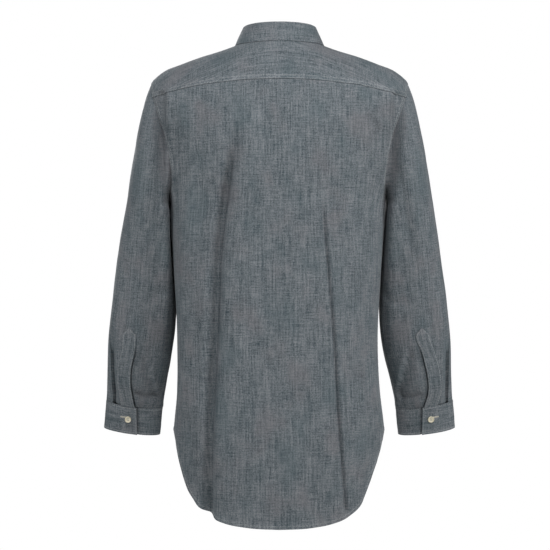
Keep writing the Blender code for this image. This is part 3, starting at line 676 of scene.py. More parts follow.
BACK_FOLDS = (
    Fold(((80, -185), (86, -220), (99.5, -300), (107, -380), (110, -454), (114, -530), (118, -602),
          (122, -700), (124, -830)), 9.4, 19.5, 0.1, (130, 20)),
    Fold(((-74, -290), (-79, -350), (-84.5, -417), (-93.7, -528), (-99.6, -639), (-108, -740),
          (-112, -800)), 3.8, 6.5, -0.15, (90, 20)),
    Fold(((-109, -265), (-113, -385)), 8, 1.6, 0.2, (40, 40)),
    Fold(((139, -195), (142, -300)), 9, 2.0, 0.2, (40, 50)),
    Fold(((122, -315), (123, -470), (126, -640)), 8, 1.2, 0.0, (60, 80)),
    Fold(((129, -80), (138, -102), (150, -126)), 5.5, 2.6, 0.25, (10, 16)),
    Fold(((157, -86), (166, -104)), 5, 1.8, 0.2, (8, 12)),
    Fold(((104, -76), (108, -112), (110, -140)), 7, 1.2, 0.0, (20, 30)),
    Fold(((-120, -80), (-148, -112), (-178, -150)), 10, -2.8, 0.35, (20, 30)),
    Fold(((-98, -80), (-118, -120), (-128, -185)), 12, 2.2, 0.0, (20, 50)),
    Fold(((-150, -400), (-153, -560), (-156, -790)), 13, 5.0, 0.0, (80, 60)),
    Fold(((156, -250), (161, -420), (161, -640)), 15, -5.0, 0.0, (70, 90)),
    Fold(((58, -120), (64, -380), (70, -660)), 28, -2.5, 0.0, (90, 90)),
    Fold(((-74, -280), (-74, -520), (-74, -770)), 22, -2.5, 0.0, (90, 60)),
    Fold(((30, -330), (18, -560), (22, -800)), 20, 1.3, 0.0, (90, 60)),
    Fold(((-40, -150), (-34, -330)), 16, 0.9, 0.0, (60, 90)),
    Fold(((160, -640), (150, -700), (140, -790)), 11, 2.4, 0.2, (30, 30)),
    Fold(((-166, -650), (-158, -720), (-146, -790)), 9, 1.8, 0.2, (30, 30)),
    Fold(((60, -420), (40, -425), (14, -418)), 9, 0.7, 0.0, (20, 20)),
    Fold(((-30, -268), (-62, -262), (-92, -272)), 9, 0.8, 0.0, (20, 20)),
)
ARM_FOLDS = (
    Fold(((200, -84), (201, -115), (200.5, -167), (200.5, -210), (198, -253), (191, -279)),
         8.5, 12.0, -0.35, (12, 16)),
    Fold(((-200, -84), (-197, -115), (-194, -167), (-191, -210), (-187.5, -253), (-185, -276)),
         8.5, 12.0, 0.35, (12, 16)),
)
CORNER_FOLDS = (
    Fold(((184, -640), (172, -725), (146, -785), (116, -818)), 34, 15.0, 0.0, (60, 40)),
    Fold(((-184, -650), (-170, -730), (-144, -790), (-114, -820)), 30, 10.0, 0.0, (60, 40)),
)
FRONT_FOLDS = (
    Fold(((70, -190), (78, -370), (84, -580)), 18, 5.0, 0.2, (70, 90)),
    Fold(((130, -250), (126, -480), (120, -720)), 15, 5.5, -0.2, (80, 60)),
    Fold(((-66, -210), (-70, -420), (-74, -640)), 18, 4.5, -0.2, (70, 90)),
    Fold(((-128, -230), (-130, -460), (-132, -710)), 15, 6.0, 0.2, (80, 60)),
    Fold(((150, -150), (132, -200), (110, -262)), 12, 3.5, 0.2, (20, 40)),
    Fold(((-150, -150), (-130, -205), (-112, -255)), 12, 3.5, -0.2, (20, 40)),
    Fold(((96, -105), (84, -150), (66, -190)), 9, 1.8, 0.0, (20, 30)),
    Fold(((-98, -108), (-82, -155), (-64, -186)), 9, 1.6, 0.0, (20, 30)),
    Fold(((30, -236), (60, -226), (96, -214)), 9, 1.2, 0.0, (18, 30)),
    Fold(((-28, -318), (-56, -310), (-88, -300)), 9, 1.1, 0.0, (18, 30)),
    Fold(((28, -402), (54, -398)), 8, 0.9, 0.0, (14, 20)),
    Fold(((196, -100), (192, -160), (188, -225)), 8, 4.0, 0.0, (30, 40)),
    Fold(((-196, -100), (-192, -160), (-188, -225)), 8, 4.0, 0.0, (30, 40)),
)


def beside_arms(points: Grid) -> Grid:
    """Draws cloth in where the back's spare width folds at the arms.

    Args:
        points: points of the back or of a sleeve.

    Returns:
        The points with the two valleys beside the arms.
    """
    x, y, z = np.moveaxis(points, -1, 0)
    depth = sum(f.field(x, z) for f in ARM_FOLDS) * smooth_step((y + 30) / 45)
    return np.stack([x, y - depth, z], axis=-1)


class BodyForm:
    """The smooth surface of the body, read by angle and run, and the folds that lie on it."""

    def __init__(self) -> None:
        """Reads the sections and finds where the seams meet the armhole."""
        sides = np.array([(s.half_width, s.z_side) for s in BODY], float)
        self.runs = path_lengths(sides)
        self.table = SmoothTable(self.runs, [s[1:] for s in BODY])
        self.run_of = {s.name: run for s, run in zip(BODY, self.runs)}
        self.armpit_z = next(s.z_side for s in BODY if s.name == ARMHOLE_FOOT)
        self.hem_table = SmoothTable([h.across for h in BACK_HEM], [[h.drop] for h in BACK_HEM])
        self.wide = Ripple(11, 62, 260)
        self.fine = Ripple(12, 20, 85)
        self.turn_back = float(solve(self.back_above_seam, 0.0, ARMHOLE_QUARTER))
        self.turn_front = float(solve(self.front_behind_seam, 0.0, ARMHOLE_QUARTER))

    def back_above_seam(self, turn: np.ndarray) -> np.ndarray:
        """How far above the yoke's back seam the armhole is, at turns down the back."""
        return self.above_yoke_seam(*self.armhole(turn, Face.BACK))

    def front_behind_seam(self, turn: np.ndarray) -> np.ndarray:
        """How far behind the yoke's front seam the armhole is, at turns down the front."""
        return self.smooth(*self.armhole(turn, Face.FRONT))[..., 1] + YOKE_FRONT_REACH

    @staticmethod
    def ring(angle: np.ndarray, columns: np.ndarray) -> Grid:
        """Places points on rings of the body.

        Args:
            angle: angles round the body, 0 at the wearer's left and a quarter turn at the back.
            columns: sizes of the ring at each point, in the order of Section.

        Returns:
            The points.
        """
        half, back, front, z_back, z_side, z_front, square, shift = np.moveaxis(columns, -1, 0)
        across, deep = squared(angle, square)
        behind = np.sin(angle) > 0
        z_end = np.where(behind, z_back, z_front)
        y = np.where(behind, back, front) * deep
        return np.stack([half * across + shift, y, z_side + (z_end - z_side) * deep**2], axis=-1)

    def smooth(self, angle: np.ndarray, run: np.ndarray) -> Grid:
        """Points of the surface without folds."""
        return self.ring(angle, self.table.at(run))

    def normals(self, angle: np.ndarray, run: np.ndarray) -> Grid:
        """Outward normals of the surface without folds."""
        a = self.smooth(angle + 0.002, run) - self.smooth(angle - 0.002, run)
        b = self.smooth(angle, run - 1) - self.smooth(angle, run + 1)
        return unit(np.cross(a, b))

    def folded(self, angle: np.ndarray, run: np.ndarray) -> Grid:
        """Lays the folds of the back and the front on the smooth surface.

        Args:
            angle: angles round the body.
            run: runs down it.

        Returns:
            The points, without the valleys beside the arms.
        """
        points = self.smooth(angle, run)
        facing = np.sin(angle)
        depth = np.zeros(points.shape[:-1])
        for folds, amount in ((BACK_FOLDS, facing), (FRONT_FOLDS, -facing)):
            share = smooth_step(amount * 3)
            if np.any(share > 0):
                depth += share * sum(f.field(points[..., 0], points[..., 2]) for f in folds)
        calm = smooth_step((run - 25) / 60) * (0.3 + 0.7 * smooth_step(np.abs(facing) * 3))
        across = angle * 150
        depth -= calm * (0.9 * self.wide.at(across, run) + 0.28 * self.fine.at(across, run))
        points = points - self.normals(angle, run) * depth[..., None]
        fallen = sum(f.field(points[..., 0], points[..., 2]) for f in CORNER_FOLDS)
        points[..., 1] -= fallen * smooth_step(facing * 3)
        return points

    def skin(self, angle: np.ndarray, run: np.ndarray) -> Grid:
        """Points of the finished surface."""
        return beside_arms(self.folded(angle, run))

    def plumb_places(self, angle: np.ndarray, run: np.ndarray) -> Grid:
        """Places on the cloth of the back or of a front, whose warp hangs plumb.

        Args:
            angle: a panel's angles round the body.
            run: its runs down the body.

        Returns:
            How far each place is across the warp from the middle, and along it.
        """
        x, _, z = np.moveaxis(self.smooth(angle, run), -1, 0)
        middle = math.copysign(math.pi / 2, float(np.mean(np.sin(angle))))
        off = (angle - middle + math.pi) % (2 * math.pi) - math.pi
        turns, chest_run = np.linspace(-1.8, 1.8, 361), self.run_of[ARMHOLE_FOOT]
        arc = path_lengths(self.smooth(middle + turns, np.full(turns.shape, chest_run)))
        arc = (arc - arc[len(arc) // 2]) / self.table.at(np.array([chest_run]))[0, 0]
        around = -math.sin(middle) * np.interp(off, turns, arc) * self.table.at(run)[..., 0]
        share = smooth_step((self.armpit_z + 60 - z) / 120)
        return np.stack([x + (around - x) * share, -z], axis=-1)

    def shoulder_places(self, angle: np.ndarray, run: np.ndarray) -> Grid:
        """Places on the yoke, whose warp runs from shoulder to shoulder.

        Args:
            angle: the yoke's angles round the body.
            run: its runs down the body.

        Returns:
            How far each place is across the warp from the ridge, and along it.
        """
        x, y, z = np.moveaxis(self.smooth(angle, run), -1, 0)
        down = np.linspace(0, self.run_of[ARMHOLE_FOOT], 90)
        ridge = self.smooth(0 * down, down)
        height = np.interp(np.abs(x), np.maximum.accumulate(ridge[:, 0]), ridge[:, 2])
        return np.stack([np.copysign(np.hypot(y, z - height), y), x], axis=-1)

    def run_at(self, angle: np.ndarray, z: np.ndarray) -> np.ndarray:
        """Finds the run at which the surface reaches a height.

        Args:
            angle: angles round the body.
            z: heights.

        Returns:
            The runs.
        """
        angle, z = np.broadcast_arrays(np.asarray(angle, float), np.asarray(z, float))
        zero = np.zeros(angle.shape)

        def above(run: np.ndarray) -> np.ndarray:
            """How far above the height the surface is at these runs."""
            return self.smooth(angle, run)[..., 2] - z

        return solve(above, zero, zero + self.runs[-1])

    def front_angle(self, x: float, run: np.ndarray) -> np.ndarray:
        """The angle near the middle of the front at which the body is x from the middle."""
        row = self.table.at(run)
        square = row[..., 6]
        return -math.pi / 2 + x / row[..., 0] * (1 - square) / (1 + 3 * square)

    def armhole(self, turn: np.ndarray, face: Face) -> Edge:
        """Follows the left armhole.

        Args:
            turn: 0 on the shoulder's ridge to pi in the armpit.
            face: the back or the front.

        Returns:
            Angles and runs of the armhole.
        """
        reach = ARMHOLE[face]
        top, foot = self.run_of[ARMHOLE_TOP], self.run_of[ARMHOLE_FOOT]
        run = top + (foot - top) * (1 - np.cos(turn)) / 2
        cut = np.maximum(np.sin(turn), 0) ** reach.curve
        return face.value * math.radians(reach.degrees) * cut, run

    def above_yoke_seam(self, angle: np.ndarray, run: np.ndarray) -> np.ndarray:
        """How far the surface is above the yoke's back seam."""
        point = self.smooth(angle, run)
        return point[..., 2] - YOKE_SEAM_Z + YOKE_SEAM_DROP * (point[..., 0] / YOKE_SEAM_SPAN) ** 2

    def arm_edge(self, face: Face, start: float, end: float, parts: int) -> Edge:
        """A stretch of the left armhole."""
        return self.armhole(np.linspace(start, end, parts + 1), face)

    def side_edge(self, parts: int) -> Edge:
        """Follows the left side seam.

        Args:
            parts: how many parts it has, closer at its foot.

        Returns:
            Its angles and runs.
        """
        share = np.linspace(0, 1, parts + 1)
        share = share + 0.12 * np.sin(math.pi * share) * share
        z = self.armpit_z + (SIDE_END_Z - self.armpit_z) * share / share[-1]
        angle = np.zeros(parts + 1)
        return angle, self.run_at(angle, z)

    def yoke_seam(self, share: np.ndarray) -> Edge:
        """Follows the yoke's back seam.

        Args:
            share: 0 at the left armhole to 1 at the right one.

        Returns:
            Its angles and runs.
        """
        corner = self.armhole(self.turn_back, Face.BACK)[0]
        angle = corner + (math.pi - 2 * corner) * share
        zero = np.zeros(angle.shape)

        def above(run: np.ndarray) -> np.ndarray:
            """How far above the seam the surface is at these runs."""
            return self.above_yoke_seam(angle, run)

        return angle, solve(above, zero, zero + self.run_of[ARMHOLE_FOOT])

    def shoulder_seam(self, parts: int) -> Edge:
        """Follows the yoke's front seam, from the neck out to the armhole.

        Args:
            parts: how many parts it has.

        Returns:
            Its angles and runs.
        """
        run = np.linspace(0, float(self.armhole(self.turn_front, Face.FRONT)[1]), parts + 1)
        zero = np.zeros(run.shape)

        def behind(angle: np.ndarray) -> np.ndarray:
            """How far behind the seam the surface is at angles towards the front."""
            return self.smooth(-angle, run)[..., 1] + YOKE_FRONT_REACH

        return -solve(behind, zero, zero + math.pi / 2), run

    def hem(self, angles: np.ndarray, share: float) -> Edge:
        """The curved hem at these angles, share 1 for the back tail's depth."""
        across = np.abs(squared(angles, BODY[-1].square)[0])
        return angles, self.run_at(angles, SIDE_END_Z - self.hem_table.at(across)[..., 0] * share)


def squared(angle: np.ndarray, square: np.ndarray) -> tuple[np.ndarray, np.ndarray]:
    """(across, deep) of a ring that is boxier than an ellipse where square is above 0."""
    across = (np.cos(angle) - square * np.cos(3 * angle)) / (1 - square)
    deep = (np.sin(angle) + square * np.sin(3 * angle)) / (1 - square)
    return across, deep


def join(*stretches: Edge) -> Edge:
    """Stretches of a seam as one, where each starts at the last one's end."""
    kept = [stretches[0]] + [(a[1:], r[1:]) for a, r in stretches[1:]]
    return np.concatenate([a for a, _ in kept]), np.concatenate([r for _, r in kept])


def mirrored(edge: Edge) -> Edge:
    """The same edge on the other side of the body."""
    return math.pi - edge[0], edge[1]


def patch(top: Edge, bottom: Edge, left: Edge, right: Edge, fade: int = 1) -> list[np.ndarray]:
    """Fills a grid between four edges.

    Args:
        top: runs from left to right.
        bottom: runs from left to right.
        left: runs down.
        right: runs down.
        fade: above 1, the top edge's shape dies out sooner down the grid.

    Returns:
        The grid's angles and its runs.
    """
    u = np.linspace(0, 1, len(top[0]))[None, :]
    v = np.linspace(0, 1, len(left[0]))[:, None]
    made = []
    for t, b, l, r in zip(top, bottom, left, right):
        between = (1 - u) * l[:, None] + u * r[:, None]
        from_top = t[None] - (1 - u) * t[0] - u * t[-1]
        from_bottom = b[None] - (1 - u) * b[0] - u * b[-1]
        made.append(between + (1 - v) ** fade * from_top + v * from_bottom)
    return made


def facing_out(points: Grid, normals: Grid) -> bool:
    """Whether a grid's rows run so that its faces point outwards."""
    faced = np.cross(points[0, 1] - points[0, 0], points[0, 0] - points[1, 0])
    return float(faced @ normals[0, 0]) > 0


@dataclass
class BodyPanels:
    """The back, the yoke and the two fronts, sewn along shared lines.

    Args:
        form: the surface they lie on.
        columns: how finely the back is divided across.
        arm_rows: rows beside an armhole.
        side_rows: rows beside a side seam.
        yoke_rows: rows of the yoke.
        shoulder_rows: rows of a front along the shoulder's seam.
        ridge_parts: parts of the yoke's end on each side of the ridge.
        seam_parts: parts of the yoke's back seam.
        neck_parts: parts of a front's neck edge.
        band_parts: parts across a front's turned-in edge.
        crowd: (share of the columns, share of the way across), closer in the deep fold.
        hem_width: how far the hem is turned in.
        lap: how far out the left front lies on the right one.
    """

    form: BodyForm
    columns: int = 216
    arm_rows: int = 52
    side_rows: int = 112
    yoke_rows: int = 44
    shoulder_rows: int = 16
    ridge_parts: int = 14
    seam_parts: int = 128
    neck_parts: int = 40
    band_parts: int = 12
    crowd: tuple[tuple[float, float], ...] = ((0, 0), (0.2, 0.245), (0.4, 0.385), (1, 1))
    hem_width: float = 6.0
    lap: float = 1.9

    def cloth(self, node: str, angle: Grid, run: Grid, out: float | Grid = 0.0,
              warp_across: bool = False) -> Cloth:
        """A panel from its angles and runs, moved out where it laps over another.

        Args:
            node: the solid that the panel stands for.
            angle: the grid's angles round the body.
            run: the grid's runs down it.
            out: how far out the cloth lies.
            warp_across: whether the warp yarns run along the rows.

        Returns:
            The cloth, with its columns running so that it faces outwards.
        """
        normals = self.form.normals(angle, run)
        points = self.form.skin(angle, run) + normals * (np.zeros(angle.shape) + out)[..., None]
        woven = self.form.shoulder_places if warp_across else self.form.plumb_places
        places = woven(angle, run)
        if not facing_out(points, normals):
            points, places = points[:, ::-1], places[:, ::-1]
        return Cloth(node, points, warp_across=warp_across, woven=places)

    def back(self) -> Cloth:
        """Makes the back, from the yoke seam to its long tail.

        Returns:
            The cloth, sewn on all edges.
        """
        form = self.form
        left = join(
            form.arm_edge(Face.BACK, form.turn_back, math.pi, self.arm_rows),
            form.side_edge(self.side_rows),
        )
        share = np.interp(np.linspace(0, 1, self.columns + 1), *zip(*self.crowd))
        bottom = form.hem(math.pi * share, 1)
        angle, run = patch(form.yoke_seam(share), bottom, left, mirrored(left), 3)
        cloth = self.cloth("back", angle, run)
        cloth.sew_edge(cloth.edge("bottom"), self.hem_width, 0.55, 0.35, 1)
        cloth.sew_edge(cloth.edge("top"), 1.5, -0.5, 0.2, 2)
        for side in ("left", "right"):
            edge = cloth.edge(side)
            cloth.sew_edge(edge[: self.arm_rows + 1], 7.5, 0.45, 0.25, 3)
            cloth.sew_edge(edge[self.arm_rows :], 7.0, 0.3, 0.3, 4)
        return cloth

    def yoke(self) -> Cloth:
        """Makes the yoke, over both shoulders.

        Returns:
            The cloth, sewn on all edges.
        """
        form = self.form
        front_seam = form.shoulder_seam(self.yoke_rows)
        corner = front_seam[0][0]
        shoulder = join(
            form.arm_edge(Face.FRONT, form.turn_front, 0, self.ridge_parts),
            form.arm_edge(Face.BACK, 0, form.turn_back, self.ridge_parts),
        )
        other = mirrored((shoulder[0][::-1], shoulder[1][::-1]))
        seam = form.yoke_seam(np.linspace(0, 1, self.seam_parts + 1))
        outer = join(shoulder, seam, other)
        around = np.linspace(corner, math.pi - corner, len(outer[0]))
        angle, run = patch((around, 0 * around), outer, front_seam, mirrored(front_seam))
        cloth = self.cloth("yoke", angle, run, warp_across=True)
        ends = 2 * self.ridge_parts
        foot = cloth.edge("bottom")
        cloth.sew_edge(foot[ends : len(foot) - ends], 9.0, 0.7, 0.25, 5)
        cloth.sew_edge(cloth.edge("left"), 8.0, 0.6, 0.25, 6)
        cloth.sew_edge(cloth.edge("right"), 8.0, 0.6, 0.25, 7)
        cloth.sew_edge(foot[: ends + 1], 7.5, 0.45, 0.2, 8)
        cloth.sew_edge(foot[len(foot) - ends - 1 :], 7.5, 0.45, 0.2, 9)
        return cloth

    def front(self, side: Side, lap: float) -> Cloth:
        """Makes a front, from its free edge past the middle out to the shoulder, armhole and side.

        Args:
            side: whose front.
            lap: how far out its free edge lies.

        Returns:
            The cloth, sewn on all edges.
        """
        form = self.form
        over = form.shoulder_seam(self.shoulder_rows)
        outer = join(
            over,
            form.arm_edge(Face.FRONT, form.turn_front, math.pi, self.arm_rows),
            form.side_edge(self.side_rows),
        )
        drop = BACK_HEM[0].drop * FRONT_HEM_SHARE
        lowest = float(form.run_at(-math.pi / 2, SIDE_END_Z - drop))
        armpit = outer[1][-self.side_rows - 1]
        below = np.maximum(outer[1] - armpit, 0)
        middle_run = outer[1] + below * (lowest - outer[1][-1]) / below[-1]
        middle_run[0] = lap * 0.8
        inner = (form.front_angle(PLACKET_HALF, middle_run), middle_run)
        neck = np.linspace(inner[0][0], over[0][0], self.neck_parts + 1)
        neck_run = np.zeros(neck.shape)
        neck_run[0] = middle_run[0]
        foot = form.hem(np.linspace(inner[0][-1], 0, len(neck)), FRONT_HEM_SHARE)
        foot[1][0] = middle_run[-1]
        angle, run = patch((neck, neck_run), foot, inner, outer)
        strips = np.linspace(-PLACKET_HALF, PLACKET_HALF, self.band_parts + 1)[:-1]
        band = np.stack([form.front_angle(x, middle_run) for x in strips], axis=1)
        angle = np.concatenate([band, angle], axis=1)
        run = np.concatenate([np.repeat(middle_run[:, None], self.band_parts, axis=1), run], axis=1)
        out = np.zeros(angle.shape)
        out[:, : self.band_parts + 1] = lap
        out[:, self.band_parts + 1] = lap * 0.6
        out[:, self.band_parts + 2] = lap * 0.2
        if side is Side.RIGHT:
            angle = math.pi - angle
        cloth = self.cloth(f"front_{side.word}", angle, run, out)
        free, seam = ("left", "right") if side is Side.RIGHT else ("right", "left")
        edge = cloth.edge(seam)
        arm = self.shoulder_rows + self.arm_rows
        cloth.sew_edge(cloth.edge("bottom"), self.hem_width, 0.35, 0.35, 11)
        cloth.sew_edge(edge[: self.shoulder_rows + 1], 1.5, -0.3, 0.2, 12)
        cloth.sew_edge(edge[self.shoulder_rows : arm + 1], 7.5, 0.45, 0.25, 13)
        cloth.sew_edge(edge[arm:], 1.5, -0.1, 0.3, 14)
        cloth.sew_edge(cloth.edge(free), 30.0, 0.3, 0.12, 15)
        return cloth


# ---- sleeves ----

SLEEVE_FOLDS = {
    Side.LEFT: (
        Fold(((90, -135), (96, -230), (107, -330), (111, -400)), 10, 3.4, 0.3, (40, 60)),
        Fold(((140, -240), (143, -400), (141, -560)), 15, 4.0, 0.0, (60, 60)),
        Fold(((70, -130), (74, -300)), 14, -2.0, 0.0, (40, 60)),
        Fold(((99, -545), (116, -582), (139, -616)), 7, 5.0, 0.3, (30, 12)),
        Fold(((90, -608), (115, -613), (146, -614)), 5.0, 5.0, 0.0, (10, 14)),
        Fold(((60, -340), (55, -450)), 15, 1.5, 0.0, (40, 40)),
        Fold(((150, -404), (122, -428), (98, -436)), 9, 1.7, 0.2, (20, 25)),
        Fold(((24, -170), (40, -240), (48, -330)), 12, 1.5, 0.0, (30, 40)),
        Fold(((-60, -180), (-84, -420)), 14, 4.5, 0.0, (60, 60)),
        Fold(((-140, -440), (-95, -466), (-50, -470)), 13, 3.0, 0.2, (20, 20)),
        Fold(((-130, -350), (-90, -372), (-56, -374)), 10, 1.8, 0.2, (20, 20)),
        Fold(((-40, -530), (-42, -640)), 9, 4.5, 0.0, (40, 10)),
        Fold(((-90, -560), (-96, -640)), 8, 2.6, 0.0, (30, 10)),
    ),
    Side.RIGHT: (
        Fold(((104, -150), (99, -250), (92, -350)), 12, 3.2, -0.25, (40, 60)),
        Fold(((144, -260), (145, -400), (142, -560)), 13, 2.6, 0.0, (60, 60)),
        Fold(((66, -120), (62, -260)), 13, -2.0, 0.0, (40, 60)),
        Fold(((101, -536), (124, -580), (150, -613)), 7.5, 5.0, 0.3, (30, 12)),
        Fold(((94, -610), (118, -614), (144, -615)), 5.0, 4.0, 0.0, (10, 14)),
        Fold(((44, -330), (50, -430)), 15, 1.7, 0.0, (40, 40)),
        Fold(((156, -428), (126, -446), (100, -452)), 9, 1.9, 0.2, (20, 25)),
        Fold(((30, -200), (36, -300)), 12, 1.2, 0.0, (30, 40)),
        Fold(((-66, -190), (-80, -430)), 14, 4.2, 0.0, (60, 60)),
        Fold(((-136, -456), (-96, -478), (-54, -490)), 13, 3.2, 0.2, (20, 20)),
        Fold(((-128, -330), (-92, -350), (-60, -346)), 10, 1.6, 0.2, (20, 20)),
        Fold(((-44, -520), (-40, -640)), 9, 4.0, 0.0, (40, 10)),
        Fold(((-96, -550), (-92, -640)), 8, 3.0, 0.0, (30, 10)),
    ),
}
DEGREE = 0.72  # millimetres for a degree round the end of the sleeve


@dataclass(frozen=True)
class Pleat:
    """A fold of cloth laid under itself, from the cuff up. Its line is in (degrees, height)."""

    line: tuple[tuple[float, float], ...]
    half: float = 7.0
    overlap: float = 5.8
    depth: float = 3.6
    slit: float = 7.0
    slit_top: float = -522
    opening: tuple[float, float] = (-478, -545)
    pressed: tuple[float, float] = (-598, -624)

    def shape(self, degrees: Grid, height: Grid) -> tuple[Grid, Grid]:
        """Folds the cloth under itself.

        Args:
            degrees: places round the sleeve.
            height: heights of the same places.

        Returns:
            How far each place slides across the line, and how far it sinks.
        """
        line = smooth_line([(d * DEGREE, z) for d, z in self.line], 16)
        off, _ = near_line(np.stack([degrees * DEGREE, height], axis=-1), line)
        s = off / self.half
        above, full = self.opening
        amount = smooth_step((above - height) / (above - full))
        slide = np.where(np.abs(s) < 1, -self.overlap * np.sin(math.pi * s), 0) * amount
        under = smooth_step((s + 0.85) / 1.7) * smooth_step((2.5 - s) / 1.5)
        start, end = self.pressed
        flat = 1 - 0.45 * smooth_step((start - height) / (start - end))
        opened = smooth_step((self.slit_top - height) / 18)
        gap = self.slit * np.exp(-(((s - 0.87) / 0.12) ** 2)) * opened
        return slide, (self.depth * under * amount + gap) * flat


PLEAT = {
    Side.LEFT: Pleat(((31, -470), (31, -503), (32.5, -560), (35.5, -598), (37.5, -622))),
    Side.RIGHT: Pleat(((29, -470), (29.5, -505), (31, -556), (30, -600), (31, -622)), depth=2.6),
}
PLACKET_WIDTH, PLACKET_TOP_Z, PLACKET_POINT = 25, -492, 11
PLACKET_START_DEG = 85


class SlitEdge(NamedTuple):
    """How far down the placket, and at how many degrees round each sleeve its free edge is."""

    share: float
    left_deg: float
    right_deg: float


SLIT_EDGE = (
    SlitEdge(0.0, 84.0, 92.5),
    SlitEdge(0.14, 84.6, 91.5),
    SlitEdge(0.3, 84.6, 86.0),
    SlitEdge(0.46, 80.6, 82.0),
    SlitEdge(0.65, 80.2, 79.6),
    SlitEdge(0.75, 82.0, 79.8),
    SlitEdge(0.84, 85.4, 82.0),
    SlitEdge(0.93, 89.2, 87.6),
    SlitEdge(1.0, 92.0, 92.2),
)


@dataclass
class SleeveForm:
    """The surface of one sleeve, by the turn round it and the place down it.

    Args:
        side: whose arm.
        body: the form of the body, whose armhole it starts from.
        gape_depth: how deep the slit beside the placket is.
        gape_half: half its width.
        tuck: how far the cloth turns in under the cuff.
    """

    side: Side
    body: BodyForm
    gape_depth: float = 7.0
    gape_half: float = 1.8
    tuck: float = 4.2

    def __post_init__(self) -> None:
        """Reads the rings and draws the unevenness."""
        self.table = SmoothTable(range(len(SLEEVE)), [r[1:] for r in SLEEVE])
        edge = [(s.left_deg if self.side is Side.LEFT else s.right_deg,) for s in SLIT_EDGE]
        self.slit_table = SmoothTable([s.share for s in SLIT_EDGE], edge)
        self.wide = Ripple(21 + self.side.value, 58, 210)
        self.fine = Ripple(31 + self.side.value, 20, 75)
        share = np.linspace(0.16, 1.04, 26)
        turn, place = self.placket_place(np.minimum(share, 1), np.zeros(26))
        height = self.ring(turn, self.table.at(place))[..., 2] - np.maximum(share - 1, 0) * 130
        self.gape_line = np.stack([np.degrees(turn) * DEGREE, height], axis=-1)

    def ring(self, turn: np.ndarray, columns: np.ndarray) -> Grid:
        """Places points on rings of the sleeve.

        Args:
            turn: turns round the sleeve, 0 on its outer edge and a quarter turn behind.
            columns: sizes of the ring at each point, in the order of Ring.

        Returns:
            The points.
        """
        outer_x, outer_z, inner_x, inner_z, y, depth, lean, square, right_in = np.moveaxis(
            columns, -1, 0
        )
        if self.side is Side.RIGHT:
            inner_x = inner_x - right_in
        middle = np.stack([(outer_x + inner_x) / 2, y, (outer_z + inner_z) / 2], axis=-1)
        half = np.stack([(outer_x - inner_x) / 2, 0 * y, (outer_z - inner_z) / 2], axis=-1)
        tip = np.radians(lean)
        deep = np.stack([0 * y, depth * np.cos(tip), -depth * np.sin(tip)], axis=-1)
        across, behind = squared(turn, square)
        points = middle + across[..., None] * half + behind[..., None] * deep
        return points * [self.side.value, 1, 1]

    def armhole(self, turn: np.ndarray) -> Grid:
        """Follows the seam on the body.

        Args:
            turn: 0 to 2 pi from the ridge round by the back.

        Returns:
            Points on the body.
        """
        behind = turn <= math.pi
        back = self.body.armhole(np.where(behind, turn, 0), Face.BACK)
        front = self.body.armhole(np.where(behind, 0, 2 * math.pi - turn), Face.FRONT)
        angle = np.where(behind, back[0], front[0])
        run = np.where(behind, back[1], front[1])
        return self.body.folded(angle if self.side is Side.LEFT else math.pi - angle, run)

    def placket_place(self, share: Grid, across: Grid) -> tuple[Grid, Grid]:
        """Lays the strip over the slit.

        Args:
            share: 0 at the strip's point to 1 at the cuff.
            across: 0 at its free edge to 1 at the other.

        Returns:
            Turns round the sleeve and places down it.
        """
        end = len(SLEEVE) - 1
        fine = np.linspace(end / 2, end, 300)
        down = self.ring(np.full(fine.shape, math.radians(PLACKET_START_DEG)), self.table.at(fine))
        length = PLACKET_TOP_Z - down[-1, 2]
        place = np.interp(share, (PLACKET_TOP_Z - down[:, 2]) / length, fine)
        edge = np.radians(self.slit_table.at(share)[..., 0])
        speed = self.ring(edge, self.table.at(place)) - self.ring(edge - 0.05, self.table.at(place))
        width = PLACKET_WIDTH * 0.05 / np.linalg.norm(speed, axis=-1)
        narrow = np.interp(share, [0, PLACKET_POINT / length], [0.1, 1])
        return edge - width * (0.5 + (across - 0.5) * narrow), place

    def sink(self, turn: Grid, place: Grid, height: Grid) -> Grid:
        """Works out how far the folds and the unevenness push the cloth in.

        Args:
            turn: turns round the sleeve.
            place: places down it.
            height: heights of the same places.

        Returns:
            Depths, 0 at the armhole.
        """
        degrees = (np.degrees(turn) + 180) % 360 - 180
        depth = sum(f.field(degrees, height) for f in SLEEVE_FOLDS[self.side])
        wave = self.wide.at(degrees, height) + 0.3 * self.fine.at(degrees, height)
        return (depth - wave) * smooth_step((place - 0.5) / 2)

    def gape(self, turn: Grid, height: Grid) -> Grid:
        """How far the slit's edge beside the placket falls in.

        Args:
            turn: turns round the sleeve.
            height: heights of the same places.

        Returns:
            Depths: a narrow gully that the placket's free edge hangs over.
        """
        degrees = np.degrees(turn)
        off, along = near_line(np.stack([degrees * DEGREE, height], axis=-1), self.gape_line)
        total = path_lengths(self.gape_line)[-1]
        opened = smooth_step((along - 10) / 24) * (1 - 0.3 * smooth_step((along - total + 26) / 20))
        near, far = -1.6 * self.gape_half, 1.1 * self.gape_half
        gully = smooth_step((off - near) / 2.0) * smooth_step((far - off) / 1.6)
        beyond = 0.16 * np.exp(-(((off - 5) / 5) ** 2)) * (off > 0)
        return self.gape_depth * opened * np.maximum(gully, beyond)

